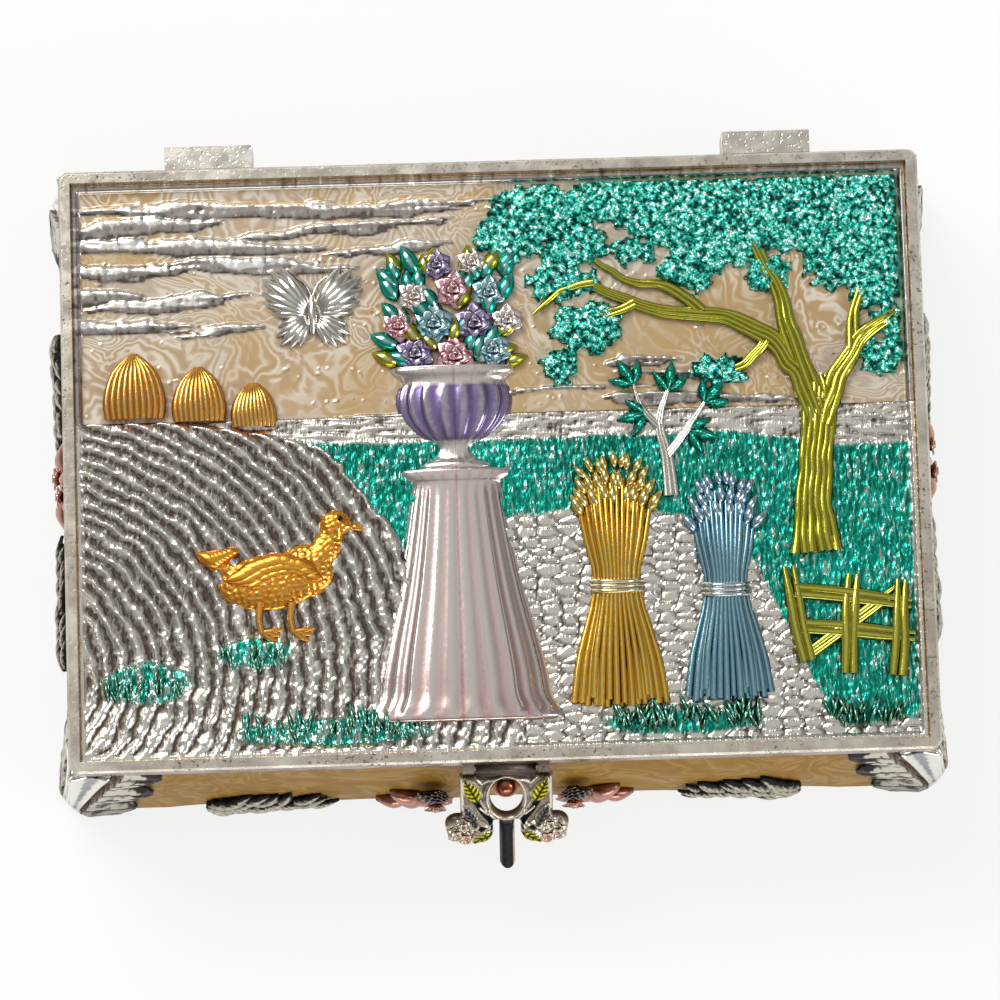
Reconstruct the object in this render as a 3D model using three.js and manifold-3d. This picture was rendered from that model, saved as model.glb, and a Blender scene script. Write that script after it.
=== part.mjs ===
// Metal trinket box: a cast and silver-plated box with enamelled walls, four flared corner legs,
// a hinged lid that holds a relief picture, and a leafy hasp that snaps over a ball stud.
// Millimetres. X runs to the right, -Y to the front, +Z up. The feet stand at z = 0.

import * as THREE from "three";
import { mergeVertices } from "three/addons/utils/BufferGeometryUtils.js";
import Module from "manifold-3d";

const wasm = await Module();
wasm.setup();

// Clearances
const gap = 0.3; // between pieces that touch or are soldered together
const pinClearance = 0.15; // between a pin and its hole

// Lid
const lidLength = 127;
const lidDepth = 89;
const boxHeight = 37; // from the floor to the top of the lid's rim
const lidHeight = 5.5;
const lidCorner = 1.2; // radius of the lid's upright corners
const rimWidth = 1.7; // silver band round the picture
const rimBevel = 0.35; // broken edge of the band
const pictureDrop = 2.8; // from the band down to the picture's field
const plateThickness = 1.2;
const shelfWidth = 1.5; // ledge under the edge of the picture plate
const lidLiningThickness = 1;

// Body
const lidOverhang = 1.5; // lid edge beyond the top of the body's walls
const bodyFlare = 4.1; // how far the walls lean out from the seam down to the apron
const bodyCorner = 3; // radius of the body's upright corners
const wallThickness = 2;
const apronClearance = 3; // floor to the lowest edge of the walls
const scallopRise = 1.6; // depth of the waves cut in that edge
const scallopCount = 5;
const ledgeHeight = 3.3; // thick band at the foot of the walls, which carries the bottom plate
const ledgeWidth = 1.5;
const bottomThickness = 1.2;
const velvetThickness = 0.9;
const velvetTopGap = 0.4; // lining's top edge below the seam

// Enamel panels in the walls
const panelDepth = 0.9; // of the recess
const panelMargin = 13; // from the end of the wall to the panel
const panelTopMargin = 2.6;
const panelBottomMargin = 3.8;
const panelCorner = 2;

// Corner legs
const legSquareness = 7; // power of the rounded square that the leg's section follows
const footReach = 1.2; // foot beyond the wall faces
const waistReach = 0.9; // leg's outer faces beyond the walls, at the narrowest
const kneeReach = 1.9; // and just under the lid
const footRoot = 2; // inner edge of the foot, in from the corner
const kneeRoot = 7.5; // inner edge of the leg under the lid
const footRim = 1; // upright edge of the foot
const lobeCount = 3;
const lobeReach = 12.6; // tips of the lobes, in from the corner
const lobeOverlap = 0.1; // a lobe's height beyond its share of the wall
const lobeProud = 2;

// Relief along the apron and on the walls
const sprayLengthShare = 0.24; // of the box's depth, so that two sprays fit on the short walls
const sprayStartShare = 0.21; // from the end of the wall to the root of the spray
const sprayProud = 1.1;
const sprayLeaves = 4;
const leafLength = 7.5;
const leafWidth = 3.4;
const flowerRadius = 3.3;
const flowerProud = 2.6;
const flowerPetals = 5;
const flowerOffset = 11.4; // from the middle of the front to each flower
const flowerHeight = 7.6; // of the front flowers above the floor
const coneLift = 6; // from a front flower up to the middle of its hop cone
const sideFlowerHeight = 20;
const sideFlowerProud = 3.1;

// Hinges
const hingeInset = 20.7; // from the end of the back wall to the middle of each hinge
const hingeWidth = 13;
const hingeKnuckleRadius = 1.6;
const hingePinRadius = 0.6;
const hingeSetback = 2; // axis behind the lid's back face
const middleKnuckleWidth = 6.2;
const lugReach = 3.7; // lid leaf beyond the lid's back face
const lugThickness = 2;
const lugDrop = 1.7; // top of the lug below the top of the rim
const leafPlateHeight = 8;
const leafPlateThickness = 1;

// Hasp and catch
const haspTilt = 48; // degrees that the hasp stands out from the wall
const haspPivotDrop = 1.5; // below the lid's lower edge
const haspPivotReach = 0.2; // in front of the lid's front face
const haspKnuckleRadius = 1.1;
const haspKnuckleWidth = 8.8;
const haspPinRadius = 0.5;
const haspEarWidth = 1.7;
const haspEarRise = 1; // ears up the lid's front face
const haspThickness = 1.4;
const haspWidth = 13.7;
const haspWingWidth = 18.4;
const haspPlateTop = 1.5; // these lengths run down the hasp from its pivot
const haspWaist = 8.8;
const haspWingEnd = 13.9;
const haspTabEnd = 18.8;
const haspTabWidth = 2.3;
const haspNotchWidth = 0.85;
const haspNotchTop = 9.9;
const eyeWidth = 4.9;
const eyeTop = 2;
const eyeBottom = 8.7;
const studBallRadius = 2.1;
const studStemRadius = 0.9;
const studDrop = 5.6; // ball's centre below the hasp's pivot
const studReach = 2.7; // ball's centre in front of the wall
const keeperThickness = 0.4;
const keeperRadius = 4;

// Relief picture
const reliefSink = 0.5; // how deep each motif is rooted in the plate
const sheafThickness = 1.75; // as the motifs, in hundredths of the picture's length
const lipHeight = 0.8; // raised edge of the picture
const lipWidth = 0.8;

// Worked out from the sizes above
const lidBottom = boxHeight - lidHeight;
const seam = lidBottom - gap; // top edge of the body
const bodyLength = lidLength - 2 * lidOverhang;
const bodyDepth = lidDepth - 2 * lidOverhang;
const innerLength = bodyLength - 2 * wallThickness;
const innerDepth = bodyDepth - 2 * wallThickness;
const pictureLevel = boxHeight - pictureDrop;
const plateBottom = pictureLevel - plateThickness;
const shelfTop = plateBottom - gap;
const trayLength = lidLength - 2 * rimWidth;
const trayDepth = lidDepth - 2 * rimWidth;
const bottomLevel = apronClearance + ledgeHeight + gap;
const velvetLevel = bottomLevel + bottomThickness + gap;
const haspPivot = {
  y: -lidDepth / 2 - haspPivotReach,
  z: lidBottom - haspPivotDrop,
};
const hingeAxis = { y: lidDepth / 2 + hingeSetback, z: (lidBottom + seam) / 2 };
const tilt = THREE.MathUtils.degToRad(haspTilt);
const sprayLength = sprayLengthShare * bodyDepth;
const sprayStart = sprayStartShare * bodyDepth;

// Finishes
const finish = (color, roughness, metalness) => () =>
  new THREE.MeshStandardMaterial({ color, roughness, metalness });
const silver = finish(0xc4beb2, 0.3, 1);
const relief = finish(0xb9b3a6, 0.35, 1);
const wallEnamel = finish(0x9a7038, 0.25, 0);
const copperLacquer = finish(0xa0584a, 0.3, 0.8);
const leafSilver = finish(0xa8a294, 0.35, 1);
const steel = finish(0x6b6e74, 0.25, 1);
const velvet = finish(0x6a1626, 0.95, 0);

// Turns a closed geometry into a solid for cutting and joining.
function solid(geometry) {
  const bare = geometry.clone();
  bare.deleteAttribute("normal");
  bare.deleteAttribute("uv");
  const merged = mergeVertices(bare, 1e-4);
  return new wasm.Manifold(
    new wasm.Mesh({
      numProp: 3,
      vertProperties: new Float32Array(merged.attributes.position.array),
      triVerts: new Uint32Array(merged.index.array),
    }),
  );
}

function geometryOf(made) {
  const mesh = made.getMesh();
  const geometry = new THREE.BufferGeometry();
  geometry.setAttribute("position", new THREE.BufferAttribute(mesh.vertProperties, 3));
  geometry.setIndex(new THREE.BufferAttribute(mesh.triVerts, 1));
  geometry.computeVertexNormals();
  return geometry;
}

function join(...geometries) {
  return geometryOf(geometries.map(solid).reduce((whole, piece) => whole.add(piece)));
}

function cut(geometry, ...cutters) {
  return geometryOf(cutters.map(solid).reduce((whole, piece) => whole.subtract(piece), solid(geometry)));
}

function common(first, second) {
  return geometryOf(solid(first).intersect(solid(second)));
}

// Basic shapes
function block(x0, x1, y0, y1, z0, z1) {
  const geometry = new THREE.BoxGeometry(x1 - x0, y1 - y0, z1 - z0);
  return geometry.translate((x0 + x1) / 2, (y0 + y1) / 2, (z0 + z1) / 2);
}

function centredBlock(length, depth, z0, z1) {
  return block(-length / 2, length / 2, -depth / 2, depth / 2, z0, z1);
}

function roundedRectangle(length, depth, radius) {
  const x = length / 2 - radius;
  const y = depth / 2 - radius;
  const shape = new THREE.Shape();
  shape.absarc(x, y, radius, 0, Math.PI / 2);
  shape.absarc(-x, y, radius, Math.PI / 2, Math.PI);
  shape.absarc(-x, -y, radius, Math.PI, 1.5 * Math.PI);
  shape.absarc(x, -y, radius, 1.5 * Math.PI, 2 * Math.PI);
  return shape;
}

function extrude(shape, depth, curveSegments = 4) {
  return new THREE.ExtrudeGeometry(shape, { depth, curveSegments, bevelEnabled: false });
}

function rodAlongX(radius, x0, x1, y, z, sides = 16) {
  const rod = new THREE.CylinderGeometry(radius, radius, x1 - x0, sides);
  return rod.rotateZ(Math.PI / 2).translate((x0 + x1) / 2, y, z);
}

function dome(radiusX, radiusY, radiusZ, around = 12, rings = 8) {
  return new THREE.SphereGeometry(1, around, rings).scale(radiusX, radiusY, radiusZ);
}

// Ornaments are drawn in a flat plane, x along the wall and y up, and grow towards +z.
// This stands them on the front wall: y becomes height, and growth is towards the front.
function standOnFront(geometry) {
  return geometry.rotateX(Math.PI / 2);
}

// The body is drawn with upright walls, and each of its pieces is then spread outwards the further
// it lies below the seam. Flat faces stay flat, and the gaps between the pieces stay as they are.
function flareAt(z) {
  return (bodyFlare * (seam - z)) / (seam - apronClearance);
}

function flared(geometry) {
  const position = geometry.getAttribute("position");
  for (let i = 0; i < position.count; i += 1) {
    const spread = flareAt(position.getZ(i));
    position.setX(i, position.getX(i) * (1 + (2 * spread) / bodyLength));
    position.setY(i, position.getY(i) * (1 + (2 * spread) / bodyDepth));
  }
  return geometry;
}

// The outermost points at the front and back set how far the box is moved to stand on its centre.
const frontReach = -haspPivot.y + haspTabEnd * Math.sin(tilt) + (haspThickness / 2) * Math.cos(tilt);
const footOut = (bodyDepth / 2 + footReach) * (1 + (2 * flareAt(0)) / bodyDepth);
const backReach = Math.max(lidDepth / 2 + lugReach, footOut);
const box = new THREE.Group();
box.position.y = (frontReach - backReach) / 2;

function addPiece(name, geometry, material, parent = box) {
  const mesh = new THREE.Mesh(geometry, material());
  mesh.name = name;
  parent.add(mesh);
  return mesh;
}

// The four walls, each with the turn that carries the front wall's ornament to it.
const walls = [
  { name: "front", turn: 0, length: bodyLength, reach: bodyDepth / 2 },
  { name: "right", turn: Math.PI / 2, length: bodyDepth, reach: bodyLength / 2 },
  { name: "back", turn: Math.PI, length: bodyLength, reach: bodyDepth / 2 },
  { name: "left", turn: -Math.PI / 2, length: bodyDepth, reach: bodyLength / 2 },
];

function panelShape(wall, shrink) {
  const width = wall.length - 2 * panelMargin - 2 * shrink;
  const height = seam - apronClearance - panelTopMargin - panelBottomMargin - 2 * shrink;
  return roundedRectangle(width, height, panelCorner);
}

// Carries an ornament drawn in the flat plane to its place on a wall: along it, up it, and in front.
function onWall(geometry, wall, along, height) {
  const placed = standOnFront(geometry.clone()).translate(along, -wall.reach - gap, height);
  return flared(placed.rotateZ(wall.turn));
}

const panelMiddle = (seam - panelTopMargin + apronClearance + panelBottomMargin) / 2;

function panelRecess(wall) {
  const recess = standOnFront(extrude(panelShape(wall, 0), panelDepth + 1));
  return recess.translate(0, -wall.reach + panelDepth, panelMiddle).rotateZ(wall.turn);
}

// Waves in the lower edge: each cutter's arcs start a little below the edge, so flats stay between them.
function apronCutter(wall) {
  const start = -wall.length / 2 + panelMargin;
  const step = -2 * start / scallopCount;
  const low = apronClearance - scallopRise / 4;
  const shape = new THREE.Shape();
  shape.moveTo(start, 0);
  shape.lineTo(start, low);
  for (let i = 0; i < scallopCount; i += 1) {
    const x = start + i * step;
    shape.quadraticCurveTo(x + step / 2, low + 2.5 * scallopRise, x + step, low);
  }
  shape.lineTo(-start, 0);
  const through = wallThickness + ledgeWidth + 2;
  const cutter = standOnFront(extrude(shape, through, 6));
  return cutter.translate(0, -wall.reach + through - 1, 0).rotateZ(wall.turn);
}

// Body shell: a ring of four walls with a thick foot band inside
function bodyShell() {
  const outline = roundedRectangle(bodyLength, bodyDepth, bodyCorner);
  const outside = extrude(outline, seam - apronClearance).translate(0, 0, apronClearance);
  const inside = centredBlock(innerLength, innerDepth, apronClearance + ledgeHeight, seam + 1);
  const well = centredBlock(innerLength - 2 * ledgeWidth, innerDepth - 2 * ledgeWidth, 0, seam);
  return flared(cut(outside, inside, well, ...walls.map(panelRecess), ...walls.map(apronCutter)));
}

addPiece("body_shell", bodyShell(), silver);
const liningLength = innerLength - 2 * gap;
const liningDepth = innerDepth - 2 * gap;
const bottom = centredBlock(liningLength, liningDepth, bottomLevel, bottomLevel + bottomThickness);
addPiece("bottom_plate", flared(bottom), silver);

// Enamel panels
const studZ = haspPivot.z - studDrop;
const studWall = -bodyDepth / 2 - flareAt(studZ);
const studHole = new THREE.CylinderGeometry(studStemRadius + gap, studStemRadius + gap, 4 * panelDepth, 12);
studHole.translate(0, studWall, studZ);
walls.forEach((wall) => {
  const slab = standOnFront(extrude(panelShape(wall, gap), panelDepth - gap));
  slab.translate(0, -wall.reach + panelDepth - gap, panelMiddle);
  const panel = flared(slab.rotateZ(wall.turn));
  addPiece("enamel_" + wall.name, wall.name === "front" ? cut(panel, studHole) : panel, wallEnamel);
});

// Velvet lining: four boards that stand on the bottom plate, and a floor board between them
const liningTop = seam - velvetTopGap;
const boardInset = velvetThickness + gap;
const floorBoard = centredBlock(
  liningLength - 2 * boardInset,
  liningDepth - 2 * boardInset,
  velvetLevel,
  velvetLevel + velvetThickness,
);
addPiece("lining_floor", flared(floorBoard), velvet);
[["right", 1], ["left", -1]].forEach(([name, side]) => {
  const x = side * (liningLength / 2 - velvetThickness / 2);
  const board = centredBlock(velvetThickness, liningDepth, velvetLevel, liningTop);
  addPiece("lining_" + name, flared(board.translate(x, 0, 0)), velvet);
});
[["back", 1], ["front", -1]].forEach(([name, side]) => {
  const y = side * (liningDepth / 2 - velvetThickness / 2);
  const board = centredBlock(liningLength - 2 * boardInset, velvetThickness, velvetLevel, liningTop);
  addPiece("lining_" + name, flared(board.translate(0, y, 0)), velvet);
});

// Corner leg: a post round the corner that narrows from the knee and turns out into a foot, with
// three leaf lobes on each wall. The section at height share t reaches from legRoot to legReach.
const legHeight = seam - gap;

function legReach(t) {
  return waistReach + (footReach - waistReach) * (1 - t) ** 3 + (kneeReach - waistReach) * t ** 3;
}

function legRoot(t) {
  return footRoot + (kneeRoot - footRoot) * t;
}

function legProfile() {
  const steps = 7;
  const points = [new THREE.Vector2(0, 0)];
  points.push(new THREE.Vector2((legReach(0) + legRoot(0)) / 2, 0));
  for (let i = 0; i <= steps; i += 1) {
    const t = i / steps;
    points.push(new THREE.Vector2((legReach(t) + legRoot(t)) / 2, footRim + t * (legHeight - footRim)));
  }
  points.push(new THREE.Vector2(0, legHeight));
  return points;
}

// Squares off the turned post and leans it outwards, towards the front right corner.
function squareAndLean(geometry) {
  const position = geometry.getAttribute("position");
  for (let i = 0; i < position.count; i += 1) {
    const x = position.getX(i);
    const y = position.getY(i);
    const t = Math.max(0, (position.getZ(i) - footRim) / (legHeight - footRim));
    const norm = (Math.abs(x) ** legSquareness + Math.abs(y) ** legSquareness) ** (1 / legSquareness);
    const stretch = norm > 0 ? Math.hypot(x, y) / norm : 1;
    const lean = (legReach(t) - legRoot(t)) / 2;
    position.setXY(i, x * stretch + lean, y * stretch - lean);
  }
  return geometry;
}

function frontRightLeg() {
  const cornerX = bodyLength / 2;
  const cornerY = -bodyDepth / 2;
  const post = squareAndLean(new THREE.LatheGeometry(legProfile(), 24).rotateX(Math.PI / 2));
  post.translate(cornerX, cornerY, 0);
  const pieces = [post];
  const pitch = (seam - apronClearance - gap) / lobeCount;
  const lobeHeight = pitch + lobeOverlap;
  for (let i = 0; i < lobeCount; i += 1) {
    const z = apronClearance + pitch * (i + 0.5);
    const middle = lobeReach / 2;
    const onFront = dome(middle, lobeProud, lobeHeight / 2, 10, 6);
    pieces.push(onFront.translate(cornerX - middle, cornerY, z));
    const onSide = dome(lobeProud, middle, lobeHeight / 2, 10, 6);
    pieces.push(onSide.translate(cornerX, cornerY + middle, z));
  }
  const outline = roundedRectangle(bodyLength + 2 * gap, bodyDepth + 2 * gap, bodyCorner + gap);
  const body = extrude(outline, boxHeight).translate(0, 0, apronClearance - gap);
  const overhead = block(0, bodyLength, -bodyDepth, 0, legHeight, boxHeight);
  return flared(cut(join(...pieces), body, overhead));
}

const legGeometry = frontRightLeg();
[["front_right", 1, 1], ["front_left", -1, 1], ["back_right", 1, -1], ["back_left", -1, -1]].forEach(
  ([name, scaleX, scaleY]) => {
    addPiece("leg_" + name, legGeometry, silver).scale.set(scaleX, scaleY, 1);
  },
);

// A copy that faces the other way along x when side is -1
function mirrored(geometry, side) {
  const copy = geometry.clone();
  if (side > 0) return copy;
  copy.scale(-1, 1, 1).setIndex(Array.from(geometry.index.array).reverse());
  return copy;
}

// A leaf that grows along +x from the origin
function leaf(length, width, thickness) {
  const shape = new THREE.Shape();
  shape.moveTo(0, 0);
  shape.quadraticCurveTo(length * 0.45, width, length, 0);
  shape.quadraticCurveTo(length * 0.45, -width, 0, 0);
  return extrude(shape, thickness, 4);
}

// Leaf spray: a long rib along the apron with side leaves that lean forward
function spray() {
  const pieces = [leaf(sprayLength, leafWidth, sprayProud)];
  const pitch = sprayLength / (sprayLeaves + 1);
  for (let i = 0; i < sprayLeaves; i += 1) {
    const upward = i % 2 === 0 ? 1 : -0.45;
    const side = leaf(leafLength, leafWidth, sprayProud - 0.2 - 0.05 * i);
    pieces.push(side.rotateZ(upward * 0.75).translate(pitch * (i + 0.4), 0, 0));
  }
  return join(...pieces);
}

const sprayHeight = apronClearance + leafWidth;
const sprayGeometry = spray();
walls.forEach((wall) => {
  [["right", 1], ["left", -1]].forEach(([end, side]) => {
    const growing = mirrored(sprayGeometry, -side);
    const placed = onWall(growing, wall, side * (wall.length / 2 - sprayStart), sprayHeight);
    addPiece("spray_" + wall.name + "_" + end, placed, leafSilver);
  });
});

// Flower: round petals about a raised eye, cut flat at the back
function flower(radius, proud) {
  const pieces = [dome(radius * 0.42, radius * 0.42, proud, 8, 6)];
  for (let i = 0; i < flowerPetals; i += 1) {
    const turn = ((i + 0.25) / flowerPetals) * 2 * Math.PI;
    const petal = dome(radius * 0.52, radius * 0.4, proud * 0.72, 8, 6);
    pieces.push(petal.translate(radius * 0.5, 0, 0).rotateZ(turn));
  }
  const behind = block(-2 * radius, 2 * radius, -2 * radius, 2 * radius, -proud, 0);
  return cut(join(...pieces), behind);
}

// Cluster on the front: a flower with a hop cone above it and a leaf that points outwards
function frontCluster() {
  const cone = dome(flowerRadius * 0.5, flowerRadius * 0.8, flowerProud * 0.7, 10, 6);
  cone.rotateZ(0.9).translate(-flowerRadius * 0.45, coneLift, 0);
  const stalk = leaf(coneLift, leafWidth * 0.5, sprayProud).rotateZ(Math.PI / 2 + 0.2);
  const behind = block(-20, 20, -20, 20, -flowerProud, 0);
  const outer = leaf(leafLength, leafWidth, sprayProud).rotateZ(0.3);
  return join(flower(flowerRadius, flowerProud), cut(cone, behind), stalk, outer);
}

const frontClusterGeometry = frontCluster();
[["right", 1], ["left", -1]].forEach(([name, side]) => {
  const placed = onWall(mirrored(frontClusterGeometry, side), walls[0], side * flowerOffset, flowerHeight);
  addPiece("flower_front_" + name, placed, copperLacquer);
});

// Cluster on the other walls: two flowers one above the other, with leaves
function wallCluster(proud) {
  const upper = flower(flowerRadius, proud * 0.9).translate(flowerRadius * 0.6, flowerRadius * 1.3, 0);
  const lower = flower(flowerRadius, proud).translate(-flowerRadius * 0.4, 0, 0);
  const rightLeaf = leaf(leafLength, leafWidth, sprayProud).rotateZ(0.4);
  const leftLeaf = leaf(leafLength, leafWidth, sprayProud).rotateZ(Math.PI - 0.6);
  return join(upper, lower, rightLeaf, leftLeaf);
}

walls.slice(1).forEach((wall) => {
  const proud = wall.name === "back" ? flowerProud : sideFlowerProud;
  addPiece("flowers_" + wall.name, onWall(wallCluster(proud), wall, 0, sideFlowerHeight), copperLacquer);
});

// Ball stud and the keeper plate round its stem
const ballY = studWall - studReach;
const stemBack = studWall + panelDepth - gap;
const stem = new THREE.CylinderGeometry(studStemRadius, studStemRadius, stemBack - ballY, 12);
stem.translate(0, (stemBack + ballY) / 2, studZ);
const ball = new THREE.SphereGeometry(studBallRadius, 16, 12).translate(0, ballY, studZ);
addPiece("catch_stud", join(stem, ball), steel);

const keeperDisc = new THREE.CylinderGeometry(keeperRadius, keeperRadius, keeperThickness, 24);
keeperDisc.translate(0, -bodyDepth / 2 - gap - keeperThickness / 2, studZ);
addPiece("keeper_plate", cut(flared(keeperDisc), studHole), leafSilver);

// Lid frame: band, shelf for the picture plate, and two ears for the hasp's pin
function earsGeometry() {
  const inner = haspKnuckleWidth / 2 + gap;
  return [1, -1].flatMap((side) => {
    const x0 = Math.min(side * inner, side * (inner + haspEarWidth));
    const x1 = x0 + haspEarWidth;
    const { y, z } = haspPivot;
    const hanger = block(x0, x1, y - haspKnuckleRadius, y + haspKnuckleRadius, z, lidBottom + haspEarRise);
    return [hanger, rodAlongX(haspKnuckleRadius, x0, x1, y, z)];
  });
}

function lidFrame() {
  const outline = roundedRectangle(lidLength - 2 * rimBevel, lidDepth - 2 * rimBevel, lidCorner);
  const band = new THREE.ExtrudeGeometry(outline, {
    depth: lidHeight - 2 * rimBevel,
    curveSegments: 4,
    bevelSize: rimBevel,
    bevelThickness: rimBevel,
    bevelSegments: 1,
  }).translate(0, 0, lidBottom + rimBevel);
  const tray = centredBlock(trayLength, trayDepth, shelfTop, boxHeight + 1);
  const well = centredBlock(trayLength - 2 * shelfWidth, trayDepth - 2 * shelfWidth, 0, boxHeight);
  const reach = haspKnuckleWidth / 2 + gap + haspEarWidth + 1;
  const pinHole = rodAlongX(haspPinRadius + pinClearance, -reach, reach, haspPivot.y, haspPivot.z, 12);
  return cut(join(cut(band, tray, well), ...earsGeometry()), pinHole);
}

addPiece("lid_frame", lidFrame(), silver);

const lidLining = centredBlock(
  trayLength - 2 * shelfWidth - 2 * gap,
  trayDepth - 2 * shelfWidth - 2 * gap,
  plateBottom - gap - lidLiningThickness,
  plateBottom - gap,
);
addPiece("lid_lining", lidLining, velvet);

// Motifs of the relief picture, drawn in hundredths of its length and depth: x to the right and y up
// the picture from its middle, and heights in hundredths of its length.
function mound(x, y, radiusX, radiusY, height, turn = 0) {
  return dome(radiusX, radiusY, height, 12, 8).rotateZ(turn).translate(x, y, 0);
}

function flatMotif(points, height) {
  const shape = new THREE.Shape(points.map(([x, y]) => new THREE.Vector2(x, y)));
  return extrude(shape, height + reliefSink).translate(0, 0, -reliefSink);
}

// A thing that is round in life, turned about the picture's upright and pressed flat
function turnedMotif(x, press, profile) {
  const points = profile.map(([radius, height]) => new THREE.Vector2(radius, height));
  return new THREE.LatheGeometry(points, 16).scale(1, 1, press).translate(x, 0, 0);
}

function treeMotif() {
  const trunk = [
    [40.6, -17.5], [39.6, -9.3], [39.8, -1.2], [40.8, 3.5], [42.1, 11.1], [44.8, 17.3],
    [48.5, 23.1], [47.6, 24.8], [42.9, 20.8], [40.5, 15.8], [38.5, 15.8], [36.9, 22.2], [35, 30.4],
    [31.6, 39], [29.6, 45.6], [28.8, 45.6], [29.9, 38.6], [33, 31.5], [34.6, 23.4], [35, 20.3],
    [33.8, 21.5], [27.9, 25.5], [20.4, 26.3], [14.2, 29.7], [8.4, 34.3], [7.9, 33.6], [13.3, 27.9],
    [20.2, 24.2], [27.1, 22.7], [32.4, 18.2], [35.3, 12.9], [36.4, 5.8], [35.9, -1.2],
    [35.3, -9.3], [34.6, -17.5],
  ];
  const crown = [
    [21.8, 43.2, 7.3, 6.4, 1.54], [29.5, 40.9, 6.5, 8.2, 1.62], [37.6, 41.6, 7.7, 7.5, 1.62],
    [44.9, 40.4, 4.9, 8.6, 1.54], [14.2, 44.2, 6.5, 4.9, 1.46], [6.1, 42.8, 6.5, 5.3, 1.46],
    [2.4, 38.6, 4.4, 4.7, 1.29], [10.5, 37.4, 4.4, 4.7, 1.38], [45.3, 29.8, 4, 6.4, 1.46],
    [40.9, 32.7, 4, 4.7, 1.38], [23.5, 33.3, 4, 4.2, 1.38], [33.2, 32.1, 3.2, 4, 1.21],
    [8.5, 31, 4.4, 4, 1.29], [11.3, 22.8, 4.4, 4.9, 1.46], [46.1, 16.6, 2.9, 3.5, 1.21],
    [26.7, 14.6, 3.6, 2.9, 1.21],
  ];
  return [flatMotif(trunk, 1.3), ...crown.map((clump) => mound(...clump))];
}

// Fluted garden urn on a tall pedestal, with a bunch of flowers
function urnMotif() {
  const pedestal = [
    [0, -45], [10.7, -44.7], [11.5, -43], [10, -36.2], [7.8, -23.4], [5.8, -9.3], [5.3, -4.1],
    [6.5, -2.1], [5.8, -1.1], [0, -0.9],
  ];
  const bowl = [
    [0, -1.4], [3.7, -1.3], [2.1, 2.3], [4.5, 4.9], [6.6, 11], [6.1, 13.6], [7.4, 16.2], [0, 16.5],
  ];
  const bunch = [
    [-4.9, 25.1, 7.3, 9.8, 1.85], [-9.7, 19.9, 3.2, 4.7, 1.75], [0.4, 19.9, 3.2, 4.7, 1.75],
    [-4.4, 32.1, 4, 5.3, 1.7],
  ];
  return [
    turnedMotif(-4.9, 0.17, pedestal),
    turnedMotif(-4.9, 0.24, bowl),
    ...bunch.map((clump) => mound(...clump)),
  ];
}

// A bundle that is as thick at its narrow waist as at its wide ends
function bundleMotif(x, thickness, profile) {
  const points = profile.map(([radius, height]) => new THREE.Vector2(radius, height));
  const turned = new THREE.LatheGeometry(points, 16);
  const place = turned.getAttribute("position");
  for (let i = 0; i < place.count; i++) {
    const radius = Math.hypot(place.getX(i), place.getZ(i));
    if (radius > 0.01) {
      place.setZ(i, (place.getZ(i) / radius) * thickness);
    }
  }
  return turned.translate(x, 0, 0);
}

// Two tied sheaves
function sheafMotifs() {
  const straw = [
    [0, -42.8], [5.8, -42.4], [4.4, -33.9], [2.7, -22.2], [3.7, -11.7], [4.8, -4.7], [2.8, -1.9],
    [0, -1.4],
  ];
  const larkspur = [
    [0, -42.2], [5.3, -41.8], [4, -33.9], [2.4, -23.4], [3.3, -14], [4.1, -8.2], [2.5, -5.4],
    [0, -4.9],
  ];
  return [bundleMotif(13.8, sheafThickness, straw), bundleMotif(26.7, sheafThickness, larkspur)];
}

// Duck, haystacks and butterfly
function smallMotifs() {
  const duck = [
    [-27.1, -19.9, 6.6, 5.4, 1.62, 0.1], [-23.1, -18.2, 3.7, 5.1, 1.54, 0.5],
    [-20.6, -14.3, 2, 4.6, 1.29, -0.45], [-19.3, -10.3, 2.2, 2.8, 1.46],
    [-33.3, -16.6, 2.9, 2, 0.97, -0.5],
  ];
  const haystacks = [
    [-42.9, 13.3, 3.7, 6.5, 1.38], [-35.2, 11.9, 3.2, 5.4, 1.29], [-28.7, 10, 2.6, 4.2, 1.21],
  ];
  const wings = [
    [-24.4, 29, 3.7, 3, 0.89, -0.5], [-18.4, 29, 3.7, 3, 0.89, 0.5],
    [-23.8, 22.9, 2.4, 3, 0.81, 0.6], [-19.1, 22.9, 2.4, 3, 0.81, -0.6],
  ];
  return [...duck, ...haystacks, ...wings].map((part) => mound(...part));
}

function hurdleMotif() {
  const bars = [
    [[35, -36.2], [37, -36.2], [35.1, -19.9], [33.2, -19.9]],
    [[39.9, -38.6], [41.8, -38.6], [42.6, -21.6], [40.7, -21.6]],
    [[45.6, -39.1], [47.4, -39.1], [48.5, -22.8], [46.6, -22.8]],
    [[34.8, -25.1], [48.5, -28], [48.5, -25.7], [34.8, -22.8]],
    [[35.4, -31.3], [48.8, -33.6], [48.8, -31.3], [35.4, -29]],
  ];
  return bars.map((corners) => flatMotif(corners, 1.35));
}

// The land is a low step up to the horizon. On the ploughed hill at the left, long ridges curve about
// a point beyond the picture's corner. These too are in hundredths.
const hillOutline = [[-49.5, -49.5], [1.6, -49.5], [1.6, -39.7], [-21.8, 5], [-49.5, 5]];
const landOutline = [[-49.5, -49.5], [49.5, -49.5], [49.5, 5], [-49.5, 5]];
const ridges = { x: -63, y: -35, first: 21.8, last: 64, pitch: 5.58, width: 1.1, stretch: 1.155, steps: 8 };

function ridge(radius) {
  const edge = (distance) =>
    Array.from({ length: ridges.steps + 1 }, (_, i) => {
      const turn = -Math.PI / 6 + (i / ridges.steps) * 0.6 * Math.PI;
      const up = ridges.y + distance * ridges.stretch * Math.sin(turn);
      return [ridges.x + distance * Math.cos(turn), up];
    });
  return flatMotif([...edge(radius + ridges.width), ...edge(radius).reverse()], 0.75);
}

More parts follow.
